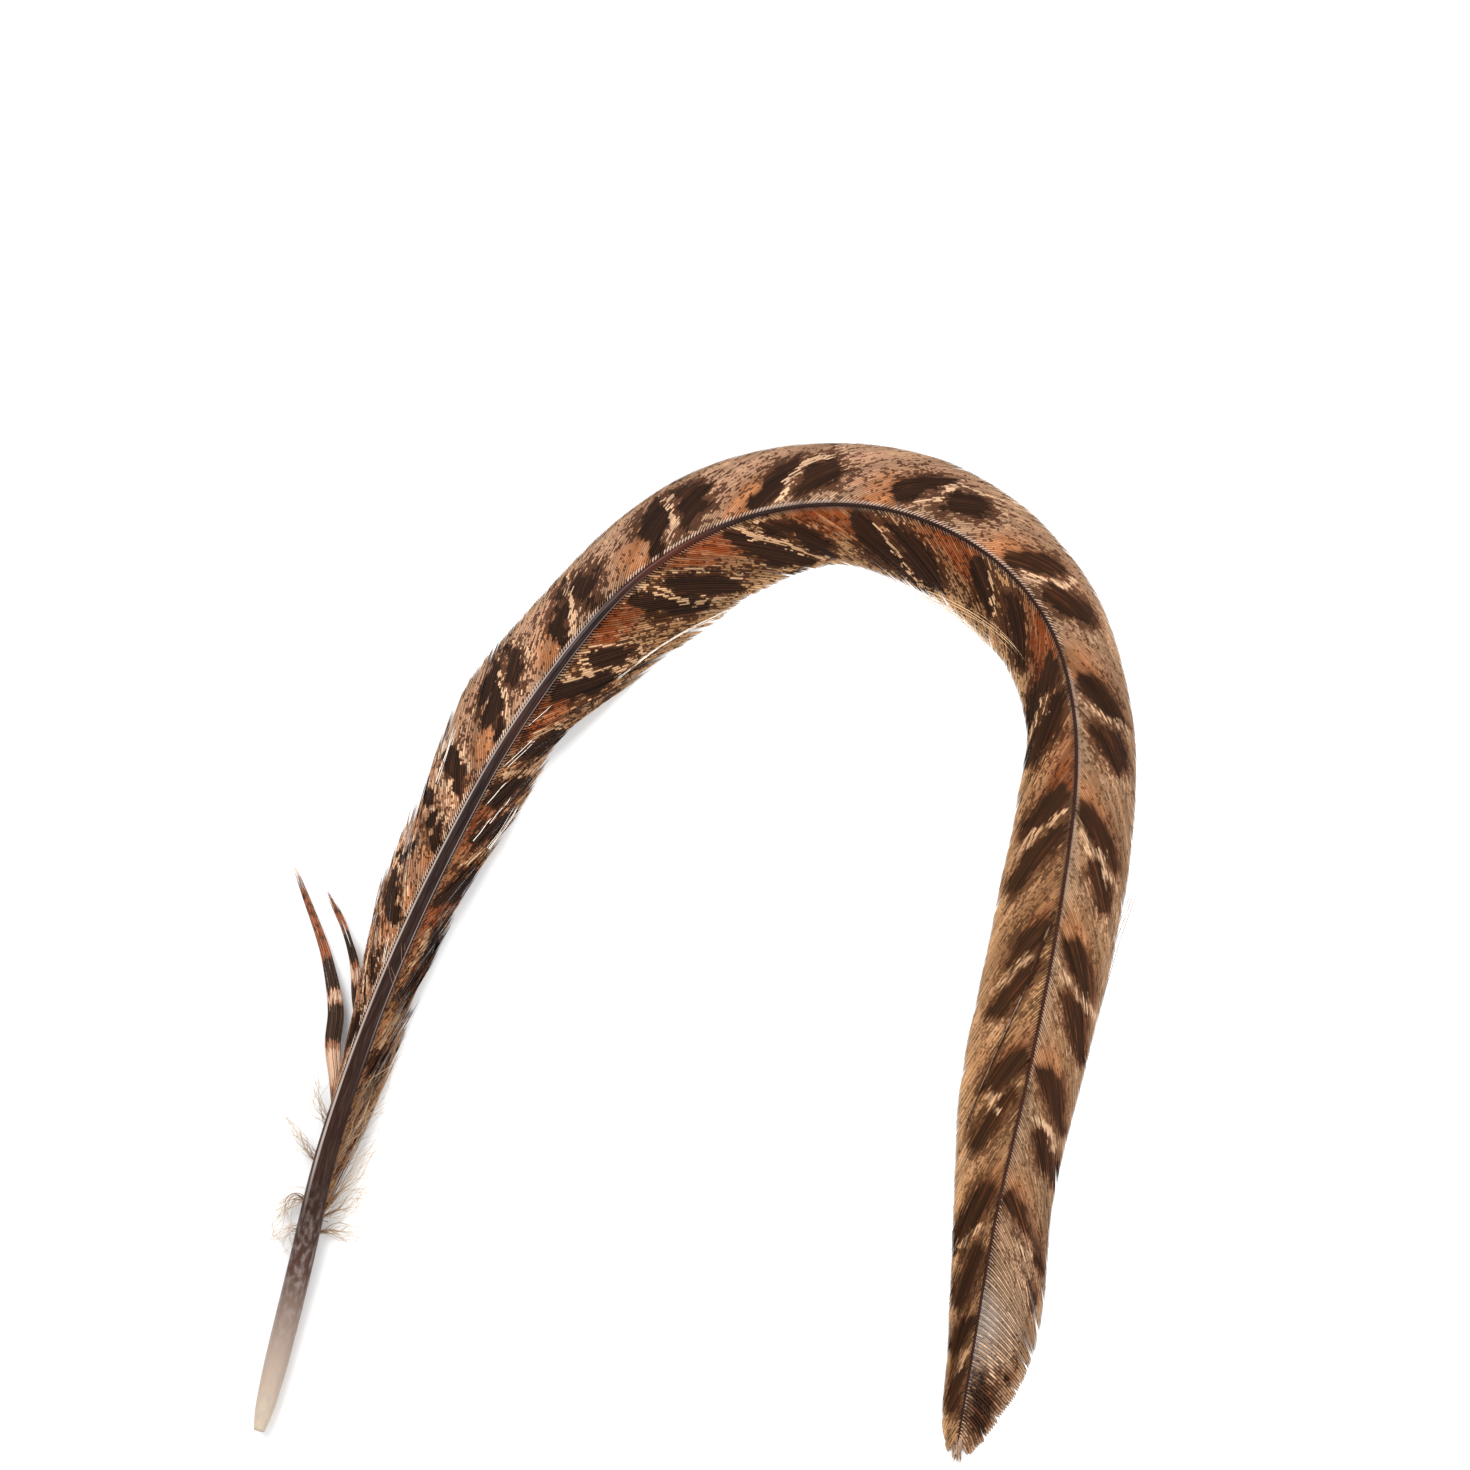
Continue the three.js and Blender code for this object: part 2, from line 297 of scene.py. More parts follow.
OUTER_BARS = (
    Bar(((52, 1.2, 0.3), (57, 1.9, 0.4)), ((58, 1.3, 0.2), (61, 1.8, 0.3)),
        ((62, 2.0, 0.3), (66, 2.8, 0.5))),
    Bar(((69.5, 1.8, 0.6), (72.5, 3.6, 1.1), (76, 5.3, 0.8)),
        ((74.5, 2.2, 0.25), (77, 4, 0.3), (78, 6, 0.25)),
        ((79, 5.5, 0.9), (80.5, 4.2, 0.5))),
    Bar(((81.5, 1.6, 0.7), (84, 3.2, 1.0), (87.5, 6.2, 0.8)),
        ((87.3, 1.8, 0.4), (88, 3.6, 0.4), (89.3, 5.4, 0.35)),
        ((90, 2.6, 0.6), (91.8, 4.3, 1.3), (93, 5.8, 0.8))),
    Bar(((98, 1.4, 0.7), (99.8, 3.4, 1.5), (102, 5, 1.4), (105.5, 7.3, 0.6)),
        ((101, 1.5, 0.45), (103, 3.4, 0.45), (104, 5.2, 0.4), (105.5, 6.5, 0.3)),
        ((105, 2.6, 0.4), (106, 4.4, 1.2), (108, 5.5, 0.8), (108.3, 7.4, 0.5))),
    Bar(((113.3, 1.4, 0.9), (114.7, 3.2, 1.5), (117, 5, 1.0), (119.3, 6.6, 0.4)),
        ((115.6, 1.2, 0.4), (117.6, 3.4, 0.45), (119.2, 5.4, 0.35), (119.9, 6.6, 0.3)),
        ((119.8, 2.6, 0.9), (120.6, 4.3, 1.4), (122.8, 4.5, 0.7))),
    Bar(((130, 1.8, 0.9), (131, 3.6, 1.5), (133, 5.5, 1.1), (134.6, 6.9, 0.5)),
        ((131.8, 1.3, 0.4), (133.8, 3.2, 0.45), (134.1, 5, 0.45), (135.4, 6.6, 0.4)),
        ((135.5, 2.4, 0.6), (137, 4.3, 1.7), (136.6, 6.4, 0.8), (138.8, 5.4, 0.7))),
    Bar(((144.9, 1.5, 0.9), (147, 3.2, 1.1), (149.4, 5, 1.0), (151.2, 6.6, 0.4)),
        ((146.3, 0.9, 0.3), (148.8, 2.6, 0.4), (150.3, 4.6, 0.4), (152.5, 6, 0.35),
         (155, 6.8, 0.3)),
        ((150.6, 2.3, 0.5), (152.8, 4.1, 1.5), (154.8, 4.6, 1.2), (154.5, 6.3, 0.35))),
    Bar(((162.8, 2.2, 0.9), (164, 3.4, 1.3), (166.3, 5.2, 0.9), (168.3, 6.6, 0.4)),
        ((165.6, 2.1, 0.35), (167.6, 3.3, 0.4), (167.9, 5, 0.35), (169.6, 6.6, 0.35),
         (172.5, 6.9, 0.25)),
        ((168.6, 2.6, 0.5), (170, 4.2, 1.6), (172.3, 4.8, 1.4))),
    Bar(((179.3, 1.4, 0.9), (181, 2.9, 1.3), (183.2, 4.7, 1.1), (184.6, 6, 0.5)),
        ((181.8, 0.9, 0.35), (183.9, 2.6, 0.4), (185.4, 4.4, 0.4), (186.4, 6.4, 0.35)),
        ((185.3, 1.8, 0.8), (187, 3.4, 1.7), (189.5, 5, 1.2), (190.8, 5.8, 0.5))),
    Bar(((197.2, 1.9, 0.9), (198.8, 3.3, 1.4), (201.5, 5.2, 1.2), (203.3, 6.6, 0.5)),
        ((199, 1, 0.25), (201.2, 2.7, 0.35), (202.4, 4.4, 0.35), (203.8, 6, 0.4),
         (204.8, 7.1, 0.3)),
        ((203.5, 2.4, 0.7), (205.5, 4, 1.6), (207.3, 5.6, 1.3), (209, 6.7, 0.5))),
    Bar(((214, 1.5, 1.0), (216.5, 3.2, 1.4), (219.4, 5.2, 1.3), (221.5, 6.6, 0.6)),
        ((216.8, 1.2, 0.3), (219.7, 2.7, 0.4), (220.3, 4.4, 0.4), (222.4, 5.4, 0.45),
         (223.5, 6.8, 0.3)),
        ((221.5, 3.9, 1.0), (224, 5, 1.3), (226.7, 6.1, 0.9))),
    Bar(((231.8, 1.6, 0.9), (234, 3.4, 1.3), (236.5, 5.2, 1.2), (239, 6.2, 0.6)),
        ((234.5, 1, 0.35), (237, 2.9, 0.4), (238.4, 4.6, 0.4), (240.3, 6.4, 0.35),
         (240.8, 7.3, 0.25)),
        ((239.5, 3.4, 1.0), (241.5, 5, 1.5), (244.5, 5.6, 1.2), (246.5, 6.6, 0.5))),
    Bar(((249.6, 1.6, 0.9), (251.3, 3.4, 1.4), (254, 5, 1.2), (257, 6.2, 0.7)),
        ((254.4, 1.4, 0.4), (256, 2.6, 0.35), (257, 4.3, 0.5), (259, 5.9, 0.4)),
        ((258, 3.6, 1.1), (260.5, 4.8, 1.3), (262, 6.4, 1.0), (263.5, 6.8, 0.5))),
    Bar(((266.5, 1.0, 1.0), (268.5, 2.8, 1.4), (271, 4.8, 1.2), (275, 6.8, 0.9)),
        ((273, 3.8, 0.5), (274.4, 5.6, 0.4)),
        ((275.5, 4.4, 0.7), (278, 6, 0.8), (280, 7, 0.5))),
    Bar(((284, 1.2, 1.1), (287, 3.2, 1.3), (291, 5, 0.9)),
        ((288.5, 1.6, 0.4), (291, 3.2, 0.4)),
        ((291.5, 1.4, 0.9), (295, 2.6, 1.2), (298, 2.2, 0.9))),
)

INNER_BARS = (
    Bar(((50, 2.4, 0.4), (53, 3.4, 0.5)), ((54, 2.2, 0.5), (58, 3.0, 0.5)),
        ((61, 2.6, 0.5), (65, 3.6, 0.6))),
    Bar(((67, 3.4, 0.6), (71, 4.2, 1.0), (73, 4.8, 0.6)), ((66, 2.2, 0.3), (71, 2.8, 0.3)),
        ((70, 4.4, 0.5), (72, 4.8, 0.4))),
    Bar(((75.5, 2.2, 0.7), (78, 3.3, 1.3), (80.5, 4.5, 1.0)),
        ((81.8, 2.9, 0.4), (83.5, 4, 0.4), (85, 4.8, 0.3)),
        ((84.5, 2.3, 0.7), (87, 3.3, 1.1), (89, 4.8, 0.8))),
    Bar(((89.8, 1.6, 0.6), (92, 3, 1.2), (95.5, 4.7, 0.9)),
        ((94.5, 2.2, 0.4), (96.3, 3.8, 0.4), (97.4, 5, 0.35)),
        ((97.8, 3, 0.5), (100, 4, 1.1), (103.5, 5.4, 0.6))),
    Bar(((107.2, 1.4, 1.0), (109, 3.2, 1.3), (111.5, 5, 1.1), (114, 6.3, 0.5)),
        ((109.3, 1.4, 0.5), (111.3, 3.2, 0.4), (113.2, 4.8, 0.4), (115.5, 6.5, 0.35)),
        ((113.5, 2.6, 0.7), (115, 4, 1.3), (117, 5.6, 1.0), (118.5, 6.6, 0.4))),
    Bar(((123.8, 1.9, 0.9), (125.3, 3.8, 1.6), (128, 6, 1.3), (131.5, 8, 0.7)),
        ((126.6, 2.9, 0.35), (127.7, 4, 0.35), (129.3, 5.8, 0.4), (131, 7.4, 0.4),
         (133.5, 8.4, 0.35)),
        ((129.8, 3.4, 0.8), (131.5, 4.9, 1.6), (134.5, 6.5, 1.4), (136.5, 7.5, 0.9),
         (138.5, 8.8, 0.5))),
    Bar(((139.5, 1.5, 0.6), (142, 3.2, 1.2), (144.8, 5, 1.5), (148.5, 6.6, 0.9),
         (151.5, 7.3, 0.4)),
        ((141.6, 1.5, 0.4), (143.3, 2.5, 0.45), (146.6, 3.8, 0.5), (148, 5.3, 0.35),
         (150, 6, 0.3), (153, 7, 0.35)),
        ((145.5, 2.2, 0.7), (149, 2.5, 0.8), (151, 4.4, 1.4), (153.5, 6.2, 0.9))),
    Bar(((157.6, 1.6, 0.9), (159.5, 3.2, 1.5), (162, 5.2, 1.4), (166, 6.9, 0.8),
         (170.5, 8, 0.5)),
        ((161.3, 2.4, 0.4), (162, 3.9, 0.35), (164.5, 5.4, 0.35), (167, 7, 0.35),
         (170, 7.8, 0.3)),
        ((163, 2.0, 0.6), (165.5, 3.6, 1.4), (169, 5.4, 1.3), (172.5, 7, 0.9))),
    Bar(((175.6, 1.8, 0.7), (178, 3, 1.1), (181.5, 4.7, 0.9)),
        ((178.4, 2, 0.3), (180.5, 3.1, 0.4), (181.4, 4.2, 0.4), (183.5, 5.4, 0.3)),
        ((182.5, 1.8, 0.6), (184.5, 2.8, 0.9), (188, 4.2, 0.9), (193, 5.4, 0.5))),
    Bar(((194, 1.7, 0.8), (196.6, 3, 1.3), (200, 4.8, 1.0), (203, 5.8, 0.5)),
        ((198.4, 2.9, 0.35), (200.6, 4, 0.35), (202.3, 5.5, 0.3), (206, 6.4, 0.25)),
        ((199.5, 1.8, 0.8), (202.5, 3.2, 1.3), (205.5, 5, 1.1), (208, 6.3, 0.5))),
    Bar(((211.8, 1.5, 0.9), (214, 3, 1.3), (217.3, 5.2, 1.1), (219.5, 6, 0.4)),
        ((214.6, 1.5, 0.35), (216.4, 3, 0.4), (218, 4.9, 0.4), (220.5, 6.2, 0.35),
         (223.5, 7.2, 0.3)),
        ((217, 1.6, 0.8), (219.5, 3, 1.4), (222.5, 5, 1.3), (226, 6.6, 0.7))),
    Bar(((230, 1.6, 0.9), (232.5, 3.2, 1.3), (236, 5.2, 0.9)),
        ((234.2, 2.8, 0.45), (236.3, 4.4, 0.4), (238.2, 5.5, 0.4), (240, 7, 0.3)),
        ((235.5, 1.9, 0.8), (238.5, 3.5, 1.3), (242, 5.2, 1.0), (243, 6.4, 0.5))),
    Bar(((247.8, 1.4, 0.9), (250, 3.2, 1.4), (253, 5, 1.0)),
        ((253.4, 3.3, 0.35), (254.8, 4.8, 0.5), (256, 2.6, 0.4)),
        ((253.5, 1.8, 0.9), (257, 3, 1.4), (260.5, 4.6, 1.2))),
    Bar(((266, 1.2, 1.0), (268.5, 2.4, 1.3), (272.5, 3.8, 1.0), (275.5, 4.6, 0.5)),
        ((271.2, 1.8, 0.3), (273, 3, 0.35), (275, 4, 0.3)),
        ((275, 1.5, 0.9), (279, 2.2, 1.0), (282, 3, 0.7))),
    Bar(((284, 1.2, 0.9), (288, 2.4, 0.7)), ((288, 0.9, 0.3), (291, 1.6, 0.3)),
        ((291, 1.0, 0.9), (296, 1.6, 0.8))),
)


NOWHERE = Profile(((0, 0.0), (300, 0.0)))


@dataclass(frozen=True)
class Grain:
    """Random patches: their size along and across the feather, and a layer of their own."""

    along: float
    across: float
    layer: int

    def over(self, along: np.ndarray, across: np.ndarray, seed: int) -> np.ndarray:
        """The patches' values at each place, from -1 to 1."""
        return patches(along / self.along, across / self.across, seed + self.layer)


COARSE = Grain(2.4, 1.7, 0)
FINE = Grain(0.95, 0.7, 1)
DRAWN = Grain(2.8, 2.2, 2)
BROKEN = Grain(0.9, 0.7, 3)
CRUMBLED = Grain(1.3, 0.9, 4)
TORN = Grain(1.7, 0.75, 5)


@dataclass(frozen=True)
class Markings:
    """The pigment of one vane, worked out from its bars.

    The profiles are over the distance along the shaft: `flood` adds flecks, `bleach` takes the
    pigment away, `blush` reddens the ground, `halo` gives the bars torn rims with pale outlines,
    `warmth` is how chestnut the ground is ahead of a bar, and `gold` how golden it is.
    """

    bars: tuple[Bar, ...]
    warm_run: tuple[float, float]
    warm_fade: tuple[float, float]
    warm_gold: float
    strip: float
    seed: int
    fleck_run: tuple[float, float] = (5.0, 1.0)
    fleck_floor: float = 0.18
    line_trim: float = 0.16
    spread: float = 0.16
    swell: float = 0.05
    tears: float = 1.1
    calm: float = 0.5
    flood: Profile = NOWHERE
    bleach: Profile = NOWHERE
    blush: Profile = NOWHERE
    halo: Profile = NOWHERE
    warmth: Profile = Profile(((0, 0.1), (52, 0.2), (72, 1.0), (262, 1.0), (272, 0.2)))
    gold: Profile = Profile(((0, 0.0), (185, 0.0), (235, 1.0), (264, 1.0), (276, 0.7)))

    def paint(
        self, along: np.ndarray, across: np.ndarray, share: np.ndarray
    ) -> dict[str, np.ndarray]:
        """The pigment fields of places on the vane.

        Args:
            along: Distances along the shaft.
            across: Distances out from it, all positive.
            share: Shares of the barb's length.

        Returns:
            Arrays marks (dark depth, buff depth, fleck density), ground (warmth, rim, gold) and
            detail (smoothness of the leading edge, pale mottling, dashes).
        """
        coarse = COARSE.over(along, across, self.seed)
        x = along + 0.5 * coarse + 0.28 * FINE.over(along, across, self.seed)
        y = across + 0.35 * DRAWN.over(along, across, self.seed)
        dark, buff, ahead, lead, behind = self.survey(x, y)
        gold = self.gold(along)
        halo = self.halo(along)
        torn = ease(0.15, 0.75, TORN.over(along, across, self.seed))
        dark = dark + self.spread + self.swell * gold - self.tears * torn * halo
        buff = buff - self.line_trim + 0.2 * BROKEN.over(along, across, self.seed)
        outline = 0.1 - np.abs(dark + 0.6) + 0.3 * CRUMBLED.over(along, across, self.seed)
        outline = outline - 1.5 * (1 - halo) - ease(4.0, 1.0, ahead) * ease(0.2, 1.0, lead)
        buff = np.maximum(buff, outline)
        warm = self.warmed(along, across, ahead, coarse)
        fleck = self.flecked(along, share, dark, lead) * (1 - 0.5 * warm)
        fleck = np.maximum(fleck * (1 - self.calm * gold), self.flood(along) * (0.8 + 0.5 * coarse))
        bleach = self.bleach(along) * ease(0.8, 0.5, share)
        rim = np.maximum(ease(0.74, 0.96, share), self.strip * ease(2.1, 1.2, across) * (1 - warm))
        pale = ease(7.0, 0.5, behind) * ease(0.12, 0.25, share)
        pale = np.maximum(pale, ease(64.0, 46.0, along) * ease(0.2, 0.7, share))
        pale = np.maximum(pale, bleach)
        smooth = ease(1.6, 0.4, lead) * ease(-1.5, 0.5, ahead)
        return {
            "marks": np.stack([dark - 3.0 * bleach, buff, fleck * (1 - 0.8 * bleach)], axis=-1),
            "ground": np.stack([warm, np.maximum(rim, bleach), gold], axis=-1),
            "detail": np.stack([smooth, pale, gold * pale], axis=-1),
        }

    def survey(self, x: np.ndarray, y: np.ndarray) -> tuple[np.ndarray, ...]:
        """Measures places against every bar.

        Args:
            x: Distances along the shaft.
            y: Distances out from it.

        Returns:
            The depth inside the dark strokes and inside the buff lines, the way on to the next
            bar, the way to the nearest leading edge, and the way back to the last bar.
        """
        dark = np.full(x.shape, -9.0)
        buff = np.full(x.shape, -9.0)
        ahead = np.full(x.shape, 99.0)
        lead = np.full(x.shape, 9.0)
        behind = np.full(x.shape, 99.0)
        for bar in self.bars:
            dark = np.maximum(dark, stroke_depth(bar.first, x, y))
            dark = np.maximum(dark, stroke_depth(bar.second, x, y))
            buff = np.maximum(buff, stroke_depth(bar.line, x, y))
            starts, outs, halves = np.array(bar.first).T
            gap = np.interp(y, outs, starts - halves) - x
            ahead = np.where((gap > -0.6) & (gap < ahead), gap, ahead)
            lead = np.minimum(lead, np.abs(gap))
            starts, outs, halves = np.array(bar.second).T
            gap = x - np.interp(y, outs, starts + halves)
            behind = np.where((gap > -1.0) & (gap < behind), gap, behind)
        return dark, buff, ahead, lead, behind

    def warmed(
        self, along: np.ndarray, across: np.ndarray, ahead: np.ndarray, coarse: np.ndarray
    ) -> np.ndarray:
        """How chestnut the ground is: most so near the shaft and ahead of a bar.

        Args:
            along: Distances along the shaft.
            across: Distances out from it.
            ahead: The way on to the next bar.
            coarse: The coarse patches.

        Returns:
            Values from 0 to about 1.
        """
        warm = ease(*self.warm_run, ahead) * ease(*self.warm_fade, across) * self.warmth(along)
        golden = self.gold(along) * self.warm_gold
        warm = warm * (1 - golden * (0.45 + 0.55 * ease(1.5, 4.5, ahead)))
        return np.maximum(warm, self.blush(along) * (0.75 + 0.6 * coarse))

    def flecked(
        self, along: np.ndarray, share: np.ndarray, dark: np.ndarray, lead: np.ndarray
    ) -> np.ndarray:
        """How dense the flecks are: most so beside a bar and least at the rim.

        Args:
            along: Distances along the shaft.
            share: Shares of the barb's length.
            dark: The depth inside the dark strokes.
            lead: The way to the nearest leading edge.

        Returns:
            Values from 0 to about 2.
        """
        near = (1 - self.fleck_floor) * ease(*self.fleck_run, -dark) + 0.95 * ease(1.5, 0.1, -dark)
        fleck = self.fleck_floor + near * ease(0.3, 1.6, lead)
        return fleck * (1 - (0.55 + 0.35 * self.gold(along)) * ease(0.72, 0.92, share))


# ---------------------------------------------------------------- meshes


def drift(rng: np.random.Generator, count: int, span: float) -> np.ndarray:
    """Random values of unit spread that wander, alike over about `span` neighbours.

    Args:
        rng: The random source.
        count: How many values.
        span: How many neighbours are alike.

    Returns:
        The values.
    """
    reach = int(np.ceil(3 * span))
    kernel = np.exp(-0.5 * (np.arange(-reach, reach + 1) / span) ** 2)
    values = np.convolve(rng.normal(size=count + 2 * reach), kernel, "valid")
    return values / np.sqrt((kernel**2).sum())


def tube_faces(strands: int, rings: int, corners: int) -> tuple[np.ndarray, np.ndarray]:
    """The faces of equal closed tubes laid out strand by strand, ring by ring.

    Args:
        strands: How many tubes.
        rings: Rings in each tube.
        corners: Points in each ring.

    Returns:
        The side quads, and the end caps of both ends.
    """
    ring = np.arange(corners)
    turn = np.roll(ring, -1)
    one = np.stack([ring, turn, turn + corners, ring + corners], axis=-1)
    tube = (one[None] + corners * np.arange(rings - 1)[:, None, None]).reshape(-1, 4)
    start = rings * corners * np.arange(strands)
    quads = (tube[None] + start[:, None, None]).reshape(-1, 4)
    first = start[:, None] + ring[::-1]
    last = start[:, None] + ring + corners * (rings - 1)
    return quads, np.concatenate([first, last])


def tube_object(name: str, points: np.ndarray, fields: dict[str, np.ndarray]) -> bpy.types.Object:
    """One object of closed tubes, with its fields as point attributes.

    Args:
        name: The object's name.
        points: Millimetres, shaped (strands, rings, corners, 3).
        fields: Vectors shaped (strands, rings, 3), or (strands, rings, corners, 3).

    Returns:
        The object, linked to the scene.
    """
    strands, rings, corners, _ = points.shape
    points[..., 2] = np.maximum(points[..., 2], LOWEST)
    quads, caps = tube_faces(strands, rings, corners)
    loops = np.concatenate([quads.ravel(), caps.ravel()])
    sizes = np.concatenate([np.full(len(quads), 4), np.full(len(caps), corners)])
    mesh = bpy.data.meshes.new(name)
    mesh.vertices.add(strands * rings * corners)
    mesh.vertices.foreach_set("co", (points * MM).astype(np.float32).ravel())
    mesh.loops.add(len(loops))
    mesh.loops.foreach_set("vertex_index", loops.astype(np.int32))
    mesh.polygons.add(len(sizes))
    mesh.polygons.foreach_set("loop_start", np.concatenate([[0], np.cumsum(sizes)[:-1]]))
    mesh.polygons.foreach_set("use_smooth", np.ones(len(sizes), bool))
    mesh.update(calc_edges=True)
    for label, values in fields.items():
        values = values if values.ndim == 4 else values[:, :, None, :]
        spread = np.broadcast_to(values, (strands, rings, corners, 3))
        attribute = mesh.attributes.new(label, "FLOAT_VECTOR", "POINT")
        attribute.data.foreach_set("vector", spread.astype(np.float32).ravel())
    mesh.validate()
    piece = bpy.data.objects.new(name, mesh)
    bpy.context.scene.collection.objects.link(piece)
    return piece


def unit(vectors: np.ndarray) -> np.ndarray:
    """Vectors scaled to length 1 over the last axis."""
    return vectors / np.maximum(np.linalg.norm(vectors, axis=-1, keepdims=True), 1e-9)


def barb_rings(
    centre: np.ndarray, sideways: np.ndarray, half_width: np.ndarray, ridge: np.ndarray
) -> np.ndarray:
    """Three-cornered sections for barbs: a flat underside and a low ridge on top.

    Args:
        centre: Points along each barb, shaped (strands, rings, 3).
        sideways: Directions roughly across each barb, in the vane's surface.
        half_width: Half the barb's width at each point.
        ridge: The ridge's height at each point.

    Returns:
        Points shaped (strands, rings, 3, 3), with the ridge in the middle of each section.
    """
    forward = unit(np.gradient(centre, axis=1))
    sideways = unit(sideways - forward * (sideways * forward).sum(-1, keepdims=True))
    up = np.cross(forward, sideways)
    up *= np.sign(up[..., 2:3] + 1e-9)
    wide, high = half_width[..., None], ridge[..., None]
    left = centre - sideways * wide
    right = centre + sideways * wide - up * high * 0.4
    top = centre - sideways * wide * 0.15 + up * high
    rings = np.stack([left, top, right], axis=2)
    turned = (np.cross(top - left, right - left) * forward).sum(-1) < 0
    return np.where(turned[..., None, None], rings[:, :, ::-1], rings)


def barb_field(
    root: np.ndarray, distance: np.ndarray, tone: np.ndarray, painted_crest_shade: float
) -> np.ndarray:
    """The field that says which barb a point is on, how far out, and how light its colour is, with
    painted shade on its edges and a painted highlight on its ridge.

    Args:
        root: A number of its own for each barb, or its place along the shaft.
        distance: The distance along the barb.
        tone: The barb's lightness, from 0 to 1.
        painted_crest_shade: How much lighter the painted highlight on its ridge is than the painted
            shade on its edges.

    Returns:
        Vectors shaped (strands, rings, 3 corners, 3).
    """
    root, distance, tone = np.broadcast_arrays(root, distance, tone)
    field_of = np.stack([root, distance, np.clip(tone, 0, 1)], axis=-1)
    field_of = np.repeat(field_of[:, :, None, :], 3, axis=2)
    # painted shade on the barb's two edges and a painted highlight on its ridge
    field_of[..., 2] += painted_crest_shade * np.array([-0.5, 0.5, -0.5])
    return field_of


# ---------------------------------------------------------------- the feather's parts


@dataclass(frozen=True)
class Split:
    """A place where the vane has come unhooked, between two shares of the barbs' length."""

    root: float
    start: float
    end: float
    gap: float


